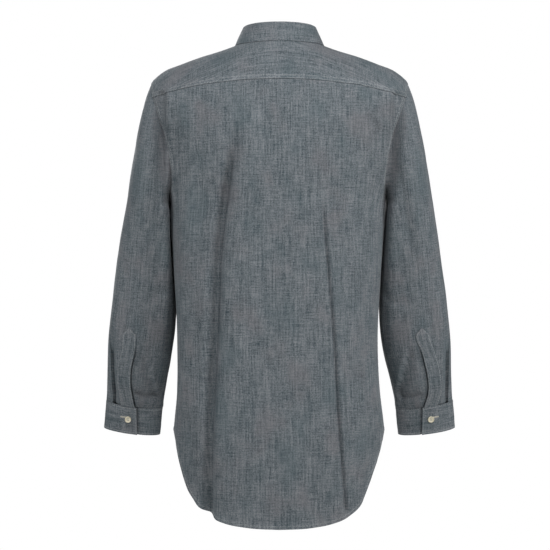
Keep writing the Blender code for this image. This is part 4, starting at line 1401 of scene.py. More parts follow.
    def clear_of_body(self, points: Grid) -> Grid:
        """Moves points out where they would touch the side of the body.

        Args:
            points: points of the sleeve.

        Returns:
            The points, clear of the body.
        """
        side, body = self.side.value, self.body
        x, y, z = np.moveaxis(points, -1, 0)
        row = body.table.at(body.run_at(np.zeros(z.shape), np.minimum(z, body.armpit_z)))
        depth = np.where(y > 0, row[..., 1], row[..., 2])
        angle = np.arcsin(np.clip(y / depth, -0.95, 0.95))
        body_x = row[..., 0] * squared(angle, row[..., 6])[0] + side * row[..., 7]
        below = np.maximum(body.armpit_z - z, 0)
        limit = body_x + np.minimum(SLEEVE_CLEAR, 0.3 + SLEEVE_CLEAR_SLOPE * below)
        soft = np.minimum(5.0, 0.3 * below) + 0.01
        over = x * side - limit
        pushed = limit + (over + np.sqrt(over**2 + soft**2)) / 2
        return np.stack([np.where(below > 0, pushed * side, x), y, z], axis=-1)

    def grid(self, turns: np.ndarray, places: np.ndarray) -> Grid:
        """Lays the folds, the pleat and the slit on the sleeve.

        Args:
            turns: the grid's turns round the sleeve.
            places: its places down it, 0 at the armhole.

        Returns:
            The grid of points.
        """
        place, turn = np.meshgrid(places, turns, indexing="ij")
        points = self.ring(turn, self.table.at(place))
        start = self.ring(turns, self.table.at(0 * turns))
        fade = (1 - smooth_step(place / CAP_BLEND)) ** 1.2
        points = points + fade[..., None] * (self.armhole(turns) - start)
        height = points[..., 2]
        degrees = (np.degrees(turn) + 180) % 360 - 180
        slide, under = PLEAT[self.side].shape(degrees, height)
        depth = self.sink(turn, place, height) + under + self.gape(np.radians(degrees), height)
        depth = depth + self.tuck * smooth_step((place - len(SLEEVE) + 1.02) / 0.14)
        along = unit(np.roll(points, -1, axis=1) - np.roll(points, 1, axis=1))
        out = grid_normals(points, True) * self.side.value
        points = self.clear_of_body(beside_arms(points - out * depth[..., None]))
        return points + along * slide[..., None]


CUFF_EDGE_DEG = {Side.LEFT: (94.5, 101.2), Side.RIGHT: (94.2, 100.0)}


def buttonhole_oval(span: tuple[float, float], half: float = 0.75) -> tuple[np.ndarray, np.ndarray]:
    """(along, aside) of a long oval that ends where it began.

    Args:
        span: where the buttonhole starts and ends.
        half: half the distance between its two rows of thread.

    Returns:
        Places along the buttonhole, and to the side of it.
    """
    start, end = span
    turn = np.linspace(-math.pi / 2, math.pi / 2, 7)
    along = np.concatenate([end + half * np.cos(turn), start - half * np.cos(turn), [end]])
    aside = np.concatenate([half * np.sin(turn), -half * np.sin(turn), [-half]])
    return along, aside


@dataclass
class Sleeve:
    """One sleeve with its placket and its cuff.

    Args:
        side: whose arm.
        body: the form of the body.
        rows: rows of the sleeve.
        even: degrees between its columns.
        close: the same at the pleat and beside the placket.
        cuff_lift: how far the cuff's free edge lifts.
        cuff_lift_reach: how far from the edge it does.
        cuff_gap: half the width of the dip where the end goes under.
        cuff_gap_depth: how deep that dip is.
        cuff_gap_parts: how far the closer columns reach before it, in its half widths halved.
        cuff_overlap: how far the under end reaches.
        cuff_out: how far out the cuff lies.
        cuff_lap: how far below the free edge the under end lies.
        cuff_parts: parts round the cuff.
        cuff_rows: its rows.
        placket_rows: rows of the placket below its point.
        placket_parts: parts across it.
        button_in: how far from the cuff's edge the button is.
        button_share: how far down the cuff it is.
        hole_span: where the buttonhole starts and ends, from the button's middle.
        hole_above: how far above the button it is.
    """

    side: Side
    body: BodyForm
    rows: int = 184
    even: float = 2.6
    close: float = 0.8
    cuff_lift: float = 0.9
    cuff_lift_reach: float = 5.0
    cuff_gap: float = 1.9
    cuff_gap_depth: float = 3.4
    cuff_gap_parts: int = 10
    cuff_overlap: float = 24
    cuff_out: float = 1.5
    cuff_lap: float = 2.7
    cuff_parts: int = 120
    cuff_rows: int = 22
    placket_rows: int = 46
    placket_parts: int = 14
    button_in: float = 14
    button_share: float = 0.47
    hole_span: tuple[float, float] = (-2.5, 12.4)
    hole_above: float = 2.9

    def __post_init__(self) -> None:
        """Sets up the sleeve's surface."""
        self.form = SleeveForm(self.side, self.body)

    def turns(self) -> np.ndarray:
        """Divides the sleeve around.

        Returns:
            Angles, closer together at the pleat and beside the placket.
        """
        degrees = [0.0]
        while degrees[-1] < 360:
            d = degrees[-1]
            near = (20 < d < 60) or (72 < d < 101)
            degrees.append(d + (self.close if near else self.even))
        return np.radians(np.array(degrees[:-1]) * 360 / degrees[-1])

    def cloth(self) -> Cloth:
        """Makes the sleeve itself, from the armhole to the cuff.

        Returns:
            The cloth, sewn at both ends.
        """
        turns = self.turns()
        end = len(SLEEVE) - 1
        tucked = end + np.array([0.05, 0.12, 0.22, 0.34])
        places = np.append(np.linspace(0, end, self.rows + 1), tucked)
        grid = self.form.grid(turns, places)
        if self.side is Side.RIGHT:
            grid = grid[:, ::-1]
        cloth = Cloth(f"sleeve_{self.side.word}", grid, closed=True)
        head = np.concatenate([cloth.edge("top"), cloth.edge("top")[:1]])
        foot = np.concatenate([cloth.rest[self.rows], cloth.rest[self.rows][:1]])
        cloth.sew_edge(head, 1.5, -0.4, 0.35, 21)
        cloth.sew_edge(foot, 1.0, -0.3, 0.45, 22)
        return cloth

    def placket(self) -> Cloth:
        """Makes the strip over the slit, pointed at its top, with its free edge lifting.

        Returns:
            The cloth, sewn on three edges.
        """
        point = PLACKET_POINT / (PLACKET_TOP_Z - SLEEVE[-1].outer_z)
        shares = np.concatenate(
            [np.linspace(0, point, 7)[:-1], np.linspace(point, 0.998, self.placket_rows + 1)]
        )
        share, across = np.meshgrid(shares, np.linspace(0, 1, self.placket_parts + 1), indexing="ij")
        turn, place = self.form.placket_place(share, across)
        columns = self.form.table.at(place)
        points = self.form.ring(turn, columns)
        beside = self.form.ring(turn + 0.02, columns)
        above = self.form.ring(turn, self.form.table.at(place - 0.05))
        normal = unit(np.cross(beside - points, above - points) * self.side.value)
        free = np.exp(-((across / 0.2) ** 2)) * smooth_step((share - 0.3) / 0.15)
        free = free * (1 - 0.5 * smooth_step((share - 0.8) / 0.2))
        ease = smooth_step(np.minimum(across, 1 - across) / 0.1)
        lift = 1.25 + 0.35 * ease + 1.7 * free - self.form.sink(turn, place, points[..., 2])
        out = unit(beside - points)
        points = points + normal * lift[..., None] + out * free[..., None]
        if self.side is Side.LEFT:
            points = points[:, ::-1]
        cloth = Cloth(f"placket_{self.side.word}", points, thick=1.1)
        for edge in ("left", "right", "top"):
            cloth.sew_edge(cloth.edge(edge), 1.0, 0.0, 0.14, 23)
        return cloth

    def cuff_ring(self, angle: Grid, share: Grid, out: Grid) -> Grid:
        """Places points on the cuff.

        Args:
            angle: turns round the sleeve.
            share: 0 at the cuff's seam to 1 at its hem.
            out: how far out the points lie.

        Returns:
            The points.
        """
        top, foot = np.array(SLEEVE[-1][1:], float), np.array(CUFF_HEM[1:], float)
        columns = top + (foot - top) * np.asarray(share)[..., None]
        points = self.form.ring(angle, columns)
        away = points - self.form.ring(angle + math.pi, columns)
        return points + unit(away) * np.asarray(out)[..., None]

    def cuff_edge(self, share: Grid) -> Grid:
        """The turn at which the cuff's free edge is, down from its seam."""
        top, foot = CUFF_EDGE_DEG[self.side]
        return np.radians(top + (foot - top) * np.asarray(share))

    def cuff_out_at(self, turned: Grid) -> Grid:
        """Winds the cuff over its own end.

        Args:
            turned: turns from its free edge.

        Returns:
            How far out it lies.
        """
        lift = self.cuff_lift * np.exp(-((turned * CUFF_HALF / self.cuff_lift_reach) ** 2))
        past = (turned - 2 * math.pi) * CUFF_HALF + 0.8 * self.cuff_gap
        lift = lift - self.cuff_gap_depth * np.exp(-((past / self.cuff_gap) ** 2))
        return self.cuff_out + lift - self.cuff_lap * np.clip(turned / (2 * math.pi), 0, 1)

    def cuff(self) -> Cloth:
        """Makes the cuff, from its free edge round to the end that lies under it.

        Returns:
            The cloth, sewn on all edges.
        """
        near = self.cuff_gap_parts * self.cuff_gap / CUFF_HALF / 2
        whole = np.linspace(0, 2 * math.pi - near, self.cuff_parts + 1)
        whole = np.append(whole, 2 * math.pi - near * (1 - np.arange(1, 13) / 12))
        under = whole[-1] + self.cuff_overlap / CUFF_HALF * np.linspace(0, 1, 11)[1:]
        turns = np.concatenate([whole, under])
        share, turned = np.meshgrid(np.linspace(0, 1, self.cuff_rows + 1), turns, indexing="ij")
        wave = Ripple(41 + self.side.value, 30, 26)
        rise = 0.35 * wave.at(turned * 40, share * 48) * smooth_step(turned / 0.4)
        grid = self.cuff_ring(self.cuff_edge(share) - turned, share, self.cuff_out_at(turned) + rise)
        if self.side is Side.LEFT:
            grid = grid[:, ::-1]
        cloth = Cloth(f"cuff_{self.side.word}", grid, thick=BAND, warp_across=True)
        for edge in ("left", "right", "top", "bottom"):
            cloth.sew_edge(cloth.edge(edge), 2.5, 0.12, 0.14, 24)
        return cloth

    def button_place(self) -> tuple[np.ndarray, np.ndarray]:
        """Finds where the cuff's button sits.

        Returns:
            The middle of its back, and the way it faces.
        """
        turned = self.button_in / CUFF_HALF
        angle, share = self.cuff_edge(self.button_share) - turned, self.button_share
        lift = self.cuff_out_at(turned) + 0.25
        spots = [(angle, share), (angle + 0.02, share), (angle, share - 0.07)]
        middle, aside, above = (
            self.cuff_ring(np.array(a), np.array(s), np.array(lift)) for a, s in spots
        )
        return middle, unit(np.cross(aside - middle, above - middle) * self.side.value)

    def buttonhole(self) -> np.ndarray:
        """Places the cuff's buttonhole, which the button half covers.

        Returns:
            The oval's points.
        """
        tall = CUFF_HEM.outer_z - SLEEVE[-1].outer_z
        across, up = buttonhole_oval(self.hole_span)
        turned = (self.button_in + across) / CUFF_HALF
        share = self.button_share + (self.hole_above + up) / tall
        out = np.full(turned.shape, self.cuff_out)
        return self.cuff_ring(self.cuff_edge(share) - turned, share, out)


# ---- collar ----


@dataclass
class Collar:
    """The band round the neck and the leaf that folds over it.

    Args:
        body: the form of the body, whose neck seam it stands on.
        end: how far the stand's ends reach past the middle of the front.
        lap_ease: how gently they come to lie on each other.
        roll_radius: of the fold at the top.
        roll_deg: how far the cloth turns over there.
        roll_lift: how much higher than the stand the fold is.
        leaf_bulge: how far the leaf stands off between its fold and its edge.
        leaf_lift: how far its edge is off the cloth below.
        leaf_thick: its thickness.
        half_parts: parts on each side of the middle of the back.
        roll_rows: rows over the fold.
        leaf_rows: rows down the leaf.
    """

    body: BodyForm
    end: float = 15
    lap_ease: float = 1.9
    roll_radius: float = 2.9
    roll_deg: float = 150
    roll_lift: float = 1.2
    leaf_bulge: float = 0.6
    leaf_lift: float = 0.75
    leaf_thick: float = 1.5
    half_parts: int = 76
    roll_rows: int = 10
    leaf_rows: int = 16

    def stand_points(self, angle: Grid, share: Grid) -> Grid:
        """Places points on the stand's outer face.

        Args:
            angle: angles round the body.
            share: 0 at the neck seam to 1 at the stand's top.

        Returns:
            The points.
        """
        foot = self.body.smooth(angle, np.zeros(angle.shape)) + [0, 0, 0.3]
        columns = np.broadcast_to(np.array(STAND_TOP[1:], float), angle.shape + (8,))
        return foot + (self.body.ring(angle, columns) - foot) * np.asarray(share)[..., None]

    def stand(self) -> Cloth:
        """Makes the band.

        Returns:
            The cloth, whose left end lies over its right one.
        """
        first = float(self.body.front_angle(-self.end, np.array(0.0)))
        angles = np.linspace(first, math.pi - first, 2 * self.half_parts + 1)
        share, angle = np.meshgrid(np.linspace(1, 0, 13), angles, indexing="ij")
        grid = self.stand_points(angle, share)
        normals = grid_normals(grid, False)
        over = np.where(np.arange(len(angles)) < len(angles) / 2, 1, -1)
        near_end = np.clip(self.lap_ease - np.abs(grid[..., 0]) / PLACKET_HALF, 0, 1)
        lap = 1.35 * over * smooth_step(near_end) * (grid[..., 1] < 0)
        points = grid + normals * lap[..., None]
        cloth = Cloth("collar_stand", points, thick=BAND, warp_across=True)
        cloth.sew_edge(cloth.edge("bottom"), 2.0, 0.1, 0.15, 31)
        return cloth

    def fall(self) -> Cloth:
        """Makes the leaf, which lies on the yoke and the fronts.

        Returns:
            The cloth, sewn on its free edges.
        """
        table = SmoothTable(np.linspace(0, 1, len(COLLAR_FALL)), [f[1:] for f in COLLAR_FALL])
        fold, edge, run = table.at(np.linspace(0, 1, self.half_parts + 1)).T
        fold = np.radians(np.concatenate([180 - fold[::-1], fold[1:]]))
        edge = np.radians(np.concatenate([180 - edge[::-1], edge[1:]]))
        run = np.concatenate([run[::-1], run[1:]])
        top, middle = (self.stand_points(fold, np.full(fold.shape, share)) for share in (1, 0.5))
        up = unit(top - middle)
        outward = unit(np.cross([0, 0, 1], np.gradient(top, axis=0)))
        rest = self.body.skin(edge, run) + self.body.normals(edge, run) * self.leaf_lift
        rows = [top - outward * 1.1 + up * 0.8]
        for turn in np.radians(self.roll_deg) * np.arange(1, self.roll_rows + 1) / self.roll_rows:
            across = outward * self.roll_radius * (1 - math.cos(turn))
            rise = self.roll_lift * min(1, turn) + self.roll_radius * math.sin(turn)
            rows.append(rows[0] + across + up * rise)
        turned = rows[-1]
        bulge = (turned + rest) / 2 + outward * self.leaf_bulge + np.array([0, 0, self.leaf_bulge])
        for t in np.arange(1, self.leaf_rows + 1) / self.leaf_rows:
            rows.append((1 - t) ** 2 * turned + 2 * t * (1 - t) * bulge + t * t * rest)
        grid = np.array(rows)
        normals = grid_normals(grid, False)
        wave = Ripple(51, 34, 30).at(*np.meshgrid(path_lengths(rest), np.arange(len(grid)) * 2.0))
        ease = np.linspace(0, 1, len(grid))[:, None]
        grid = grid + normals * (1.1 + 0.2 * wave * smooth_step(ease * 2))[..., None]
        cloth = Cloth("collar_fall", grid, thick=self.leaf_thick, warp_across=True)
        for side in ("bottom", "left", "right"):
            cloth.sew_edge(cloth.edge(side), 5.0, 0.4, 0.2, 32)
        return cloth


# ---- buttons and thread ----


def made_object(name: str, mesh: bpy.types.Mesh) -> bpy.types.Object:
    """Links an object for a mesh.

    Args:
        name: the object's name.
        mesh: its mesh, with its place in its points.

    Returns:
        The object.
    """
    made = bpy.data.objects.new(name, mesh)
    bpy.context.scene.collection.objects.link(made)
    return made


@dataclass
class Button:
    """A turned disc with a raised rim, a dished middle, four holes and the thread in them.

    Args:
        radius: of the disc, in millimetres.
        rim: its thickness.
        dish: thickness in the middle.
    """

    radius: float = 5.7
    rim: float = 2.3
    dish: float = 1.35
    sides: int = 36
    hole: float = 0.62
    hole_out: float = 1.25

    def profile(self) -> list[tuple[float, float]]:
        """Draws the section of the disc.

        Returns:
            (radius, height) from the middle of the back round to the middle of the face.
        """
        r, h = self.radius, self.rim
        return [
            (0.0, 0.0), (r * 0.78, 0.0), (r * 0.93, 0.25), (r * 0.99, 0.8), (r, h * 0.55),
            (r * 0.985, h * 0.78), (r * 0.94, h * 0.95), (r * 0.88, h), (r * 0.81, h * 0.97),
            (r * 0.74, h * 0.85), (r * 0.66, self.dish * 1.1), (r * 0.56, self.dish),
            (r * 0.3, self.dish), (0.0, self.dish),
        ]

    def disc(self) -> bpy.types.Mesh:
        """Makes the disc with the holes through it.

        Returns:
            Its mesh, at the origin and facing up.
        """
        rings = self.profile()
        turn = np.linspace(0, 2 * math.pi, self.sides + 1)[:-1]
        points = [(0.0, 0.0, rings[0][1])]
        for r, h in rings[1:-1]:
            points += [(r * math.cos(a), r * math.sin(a), h) for a in turn]
        points.append((0.0, 0.0, rings[-1][1]))
        n, count = self.sides, len(rings) - 2
        faces = [(0, 1 + (i + 1) % n, 1 + i) for i in range(n)]
        for k in range(count - 1):
            a, b = 1 + k * n, 1 + (k + 1) * n
            faces += [(a + i, a + (i + 1) % n, b + (i + 1) % n, b + i) for i in range(n)]
        last = 1 + (count - 1) * n
        faces += [(last + i, last + (i + 1) % n, len(points) - 1) for i in range(n)]
        mesh = bpy.data.meshes.new("disc")
        mesh.from_pydata([tuple(c / 1000 for c in p) for p in points], [], faces)
        disc = made_object("disc", mesh)
        drill = self.drill()
        cut = disc.modifiers.new("holes", "BOOLEAN")
        cut.operation, cut.solver, cut.object = "DIFFERENCE", "EXACT", drill
        evaluated = disc.evaluated_get(bpy.context.evaluated_depsgraph_get())
        drilled = bpy.data.meshes.new_from_object(evaluated)
        for gone in (disc, drill):
            bpy.data.objects.remove(gone, do_unlink=True)
        return drilled

    def hole_places(self) -> list[tuple[float, float]]:
        """Where the holes are."""
        d = self.hole_out
        return [(d, d), (-d, d), (-d, -d), (d, -d)]

    def drill(self) -> bpy.types.Object:
        """Makes four small rods that cut the holes.

        Returns:
            The rods as one object.
        """
        points, faces = [], []
        turn = np.linspace(0, 2 * math.pi, 13)[:-1]
        for x, y in self.hole_places():
            first = len(points)
            for h in (-1.0, 4.0):
                points += [
                    (x + self.hole * math.cos(a), y + self.hole * math.sin(a), h) for a in turn
                ]
            foot, head = first + np.arange(12), first + np.arange(12, 24)
            sides = np.stack([foot, np.roll(foot, -1), np.roll(head, -1), head], axis=-1)
            faces += sides.tolist() + [foot[::-1].tolist(), head.tolist()]
        mesh = bpy.data.meshes.new("drill")
        mesh.from_pydata([tuple(c / 1000 for c in p) for p in points], [], faces)
        return made_object("drill", mesh)

    def threads(self) -> list[tuple[list[float], list[tuple[int, ...]]]]:
        """Makes four bars of thread, two and two across the middle.

        Returns:
            Points and faces of each bar.
        """
        made = []
        out = self.hole_out
        for y in (out - 0.2, out + 0.2, -out - 0.2, 0.2 - out):
            points, faces = [], []
            for k, x in enumerate(np.linspace(-out - 0.1, out + 0.1, 7)):
                arch = 0.35 * math.sin(math.pi * k / 6) + (-0.7 if k in (0, 6) else 0.12)
                for a in np.linspace(0, 2 * math.pi, 7)[:-1]:
                    points.append((x, y + 0.22 * math.cos(a), self.dish + arch + 0.2 * math.sin(a)))
            for k in range(6):
                for i in range(6):
                    a, b = k * 6 + i, k * 6 + (i + 1) % 6
                    faces.append((a, a + 6, b + 6, b))
            faces += [tuple(range(6)), tuple(range(36, 42))[::-1]]
            made.append((points, faces))
        return made

    def sew_on(self, node: str, place: np.ndarray, facing: np.ndarray, turned: float,
               shell: bpy.types.Material, thread: bpy.types.Material) -> bpy.types.Object:
        """Puts a button at a place on the cloth.

        Args:
            node: the solid that it stands for.
            place: the middle of its back.
            facing: the way it faces.
            turned: how many degrees it is turned in its place.
            shell: the disc's material.
            thread: the thread's material.

        Returns:
            The button with its thread.
        """
        mesh = self.disc()
        mesh.materials.clear()
        mesh.materials.append(shell)
        mesh.materials.append(thread)
        joined = bmesh.new()
        joined.from_mesh(mesh)
        for points, faces in self.threads():
            spots = [joined.verts.new([c / 1000 for c in p]) for p in points]
            for f in faces:
                joined.faces.new([spots[i] for i in f]).material_index = 1
        bmesh.ops.recalc_face_normals(joined, faces=joined.faces)
        joined.to_mesh(mesh)
        joined.free()
        turn = Vector(facing).to_track_quat("Z", "Y").to_matrix().to_4x4()
        spin = Matrix.Rotation(math.radians(turned), 4, "Z")
        mesh.transform(Matrix.Translation(Vector(place) / 1000) @ turn @ spin)
        mesh.shade_smooth()
        mesh.set_sharp_from_angle(angle=math.radians(38))
        mesh.name = f"{node}_sewn"
        made = made_object(mesh.name, mesh)
        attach(made, "root")
        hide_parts(node)
        LOG.info("%s: %d faces", made.name, len(mesh.polygons))
        return made


class StitchKind(Enum):
    """How long, wide and close the stitches are, in millimetres."""

    TOP = (2.2, 0.58, 2.7)
    BUTTONHOLE = (0.95, 1.0, 0.4)


@dataclass
class Stitches:
    """The rows of stitches of one sub-assembly, laid along lines on its cloth.

    Args:
        name: the piece's name.
        kind: how the stitches are.
        material: the thread.
    """

    name: str
    kind: StitchKind
    material: bpy.types.Material
    points: list[np.ndarray] = field(default_factory=list)
    ups: list[np.ndarray] = field(default_factory=list)
    sinks: float = 0.02

    def run(self, cloth: Cloth, line: np.ndarray, step: float = 2.2) -> None:
        """Lays a row along a line, on the nearest places of the cloth's face.

        Args:
            cloth: the cloth that is sewn.
            line: where the row runs.
            step: how far apart it is set on the cloth.
        """
        tree = cloth.tree()
        length = path_lengths(line)
        even = np.linspace(0, length[-1], max(3, int(length[-1] / step)))
        line = np.stack([np.interp(even, length, line[:, i]) for i in range(3)], axis=1)
        found = [tree.find_nearest(Vector(p)) for p in line]
        ups = np.array([f[1] for f in found])
        self.points.append(np.array([f[0] for f in found]) + ups * self.sinks)
        self.ups.append(ups)

    def beside(self, cloth: Cloth, line: np.ndarray, away: float, trim: float = 0.0) -> None:
        """Lays a row at a distance in from an edge of the cloth.

        Args:
            cloth: the cloth that is sewn.
            line: its edge.
            away: how far in from the edge.
            trim: how much shorter the row is at each end.
        """
        length = path_lengths(line)
        even = np.linspace(trim, length[-1] - trim, max(3, int((length[-1] - 2 * trim) / 4)))
        line = np.stack([np.interp(even, length, line[:, i]) for i in range(3)], axis=1)
        tree = cloth.tree()
        along = unit(np.gradient(line, axis=0))
        ups = np.array([tree.find_nearest(Vector(p))[1] for p in line])
        inward = unit(np.cross(ups, along))
        probe = line + inward * 6
        far = [tree.find_nearest(Vector(p))[3] for p in probe]
        back = [tree.find_nearest(Vector(p))[3] for p in line - inward * 6]
        sign = np.where(np.median(far) <= np.median(back), 1, -1)
        self.run(cloth, line + inward * away * sign)

    def build(self) -> bpy.types.Object:
        """Makes the stitches as one mesh.

        Returns:
            The piece, on the body root.
        """
        mesh = bpy.data.meshes.new(self.name)
        points, edges, ups, first = [], [], [], 0
        for line, up in zip(self.points, self.ups):
            points += (line / 1000).tolist()
            ups += up.tolist()
            edges += [(first + i, first + i + 1) for i in range(len(line) - 1)]
            first += len(line)
        mesh.from_pydata(points, edges, [])
        mesh.attributes.new("up", "FLOAT_VECTOR", "POINT").data.foreach_set(
            "vector", np.array(ups, np.float32).ravel()
        )
        guide = made_object("guide", mesh)
        tree = stitch_tree()
        maker = guide.modifiers.new("stitches", "NODES")
        maker.node_group = tree
        length, width, pitch = (n / 1000 for n in self.kind.value)
        sizes = {"Length": length, "Width": width, "Pitch": pitch, "Thread": self.material}
        for item in tree.interface.items_tree:
            if item.item_type == "SOCKET" and item.in_out == "INPUT" and item.name in sizes:
                maker[item.identifier] = sizes[item.name]
        evaluated = guide.evaluated_get(bpy.context.evaluated_depsgraph_get())
        sewn = bpy.data.meshes.new_from_object(evaluated)
        bpy.data.objects.remove(guide, do_unlink=True)
        bpy.data.node_groups.remove(tree)
        sewn.name = self.name
        made = made_object(self.name, sewn)
        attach(made, "root")
        LOG.info("%s: %d faces", self.name, len(sewn.polygons))
        return made


def stitch_tree() -> bpy.types.NodeTree:
    """Builds Geometry Nodes that lay a thread stitch at every pitch along the guide's edges.

    Returns:
        The tree, with Length, Width, Pitch and Thread as its inputs.
    """
    tree = bpy.data.node_groups.new("stitches", "GeometryNodeTree")
    face = tree.interface
    face.new_socket("Guide", in_out="INPUT", socket_type="NodeSocketGeometry")
    for name in ("Length", "Width", "Pitch"):
        face.new_socket(name, in_out="INPUT", socket_type="NodeSocketFloat")
    face.new_socket("Thread", in_out="INPUT", socket_type="NodeSocketMaterial")
    face.new_socket("Stitches", in_out="OUTPUT", socket_type="NodeSocketGeometry")
    nodes, link = tree.nodes, tree.links.new
    given = nodes.new("NodeGroupInput")
    curve = nodes.new("GeometryNodeMeshToCurve")
    resample = nodes.new("GeometryNodeResampleCurve")
    resample.mode = "LENGTH"
    link(given.outputs["Guide"], curve.inputs["Mesh"])
    link(curve.outputs["Curve"], resample.inputs["Curve"])
    link(given.outputs["Pitch"], resample.inputs["Length"])
    ball = nodes.new("GeometryNodeMeshUVSphere")
    ball.inputs["Segments"].default_value = 6
    ball.inputs["Rings"].default_value = 4
    ball.inputs["Radius"].default_value = 0.5
    size = nodes.new("ShaderNodeCombineXYZ")
    link(given.outputs["Width"], size.inputs["X"])
    link(given.outputs["Width"], size.inputs["Y"])
    link(given.outputs["Length"], size.inputs["Z"])
    shape = nodes.new("GeometryNodeTransform")
    link(ball.outputs["Mesh"], shape.inputs["Geometry"])
    link(size.outputs["Vector"], shape.inputs["Scale"])
    along = nodes.new("GeometryNodeInputTangent")
    first = nodes.new("FunctionNodeAlignRotationToVector")
    first.axis = "Z"
    link(along.outputs["Tangent"], first.inputs["Vector"])
    up = nodes.new("GeometryNodeInputNamedAttribute")
    up.data_type = "FLOAT_VECTOR"
    up.inputs["Name"].default_value = "up"
    second = nodes.new("FunctionNodeAlignRotationToVector")
    second.axis, second.pivot_axis = "X", "Z"
    link(first.outputs["Rotation"], second.inputs["Rotation"])
    link(up.outputs["Attribute"], second.inputs["Vector"])
    place = nodes.new("GeometryNodeInstanceOnPoints")
    link(resample.outputs["Curve"], place.inputs["Points"])
    link(shape.outputs["Geometry"], place.inputs["Instance"])
    link(second.outputs["Rotation"], place.inputs["Rotation"])
    real = nodes.new("GeometryNodeRealizeInstances")
    dress = nodes.new("GeometryNodeSetMaterial")
    out = nodes.new("NodeGroupOutput")
    link(place.outputs["Instances"], real.inputs["Geometry"])
    link(real.outputs["Geometry"], dress.inputs["Geometry"])
    link(given.outputs["Thread"], dress.inputs["Material"])
    link(dress.outputs["Geometry"], out.inputs["Stitches"])
    return tree


# ---- finishes ----


class Shader:
    """A material's nodes, added and linked with few words."""

    def __init__(self, name: str) -> None:
        """Starts a material with its one shader."""
        self.material = bpy.data.materials.new(name)
        self.material.use_nodes = True
        self.nodes = self.material.node_tree.nodes
        self.link = self.material.node_tree.links.new
        self.surface = self.nodes["Principled BSDF"]

    def node(self, kind: str, **sockets: object) -> bpy.types.Node:
        """Adds a node, and sets or links its inputs by name.

        Args:
            kind: the node's type.
            sockets: numbers or outputs by the input's name, with _ for a space.

        Returns:
            The node.
        """
        made = self.nodes.new(kind)
        for name, value in sockets.items():
            self.feed(made.inputs[name.replace("_", " ")], value)
        return made

    def feed(self, socket: bpy.types.NodeSocket, value: object) -> None:
        """Links an output to a socket, or sets the socket's number."""
        if isinstance(value, bpy.types.NodeSocket):
            self.link(value, socket)
        else:
            socket.default_value = value

    def math(self, operation: str, a: object, b: object = 0.0, c: object = 0.0) -> bpy.types.NodeSocket:
        """Works out a sum.

        Args:
            operation: the kind of sum.
            a: its first number or output.
            b: its second.
            c: its third.

        Returns:
            The result.
        """
        made = self.nodes.new("ShaderNodeMath")
        made.operation = operation
        for socket, value in zip(made.inputs, (a, b, c)):
            self.feed(socket, value)
        return made.outputs[0]

    def ramp(self, value: object, low: float, high: float) -> bpy.types.NodeSocket:
        """Spreads a range over 0 to 1.

        Args:
            value: a number or an output.
            low: becomes 0.
            high: becomes 1.

        Returns:
            The result, smooth between them.
        """
        made = self.nodes.new("ShaderNodeMapRange")
        made.interpolation_type = "SMOOTHSTEP"
        self.feed(made.inputs["Value"], value)
        made.inputs["From Min"].default_value = low
        made.inputs["From Max"].default_value = high
        return made.outputs["Result"]

    def mix(self, share: object, a: object, b: object) -> bpy.types.NodeSocket:
        """Mixes two colours.

        Args:
            share: 0 for the first colour to 1 for the second.
            a: the first colour, or an output.
            b: the second one.

        Returns:
            The colour.
        """
        made = self.nodes.new("ShaderNodeMix")
        made.data_type = "RGBA"
        self.feed(made.inputs["Factor"], share)
        for socket, value in ((made.inputs[6], a), (made.inputs[7], b)):
            self.feed(socket, (*value, 1) if isinstance(value, tuple) else value)
        return made.outputs[2]

    def noise(self, vector: bpy.types.NodeSocket, scale: tuple[float, float, float], detail: float,
              rough: float = 0.5) -> bpy.types.NodeSocket:
        """Adds noise.

        Args:
            vector: where it is read.
            scale: how close it is along each direction.
            detail: how many finer layers it has.
            rough: how strong they are.

        Returns:
            Its value, about 0 to 1.
        """
        spread = self.node("ShaderNodeMapping", Vector=vector, Scale=scale)
        made = self.node("ShaderNodeTexNoise", Vector=spread.outputs[0], Scale=1.0,
                         Detail=detail, Roughness=rough)
        return made.outputs["Fac"]


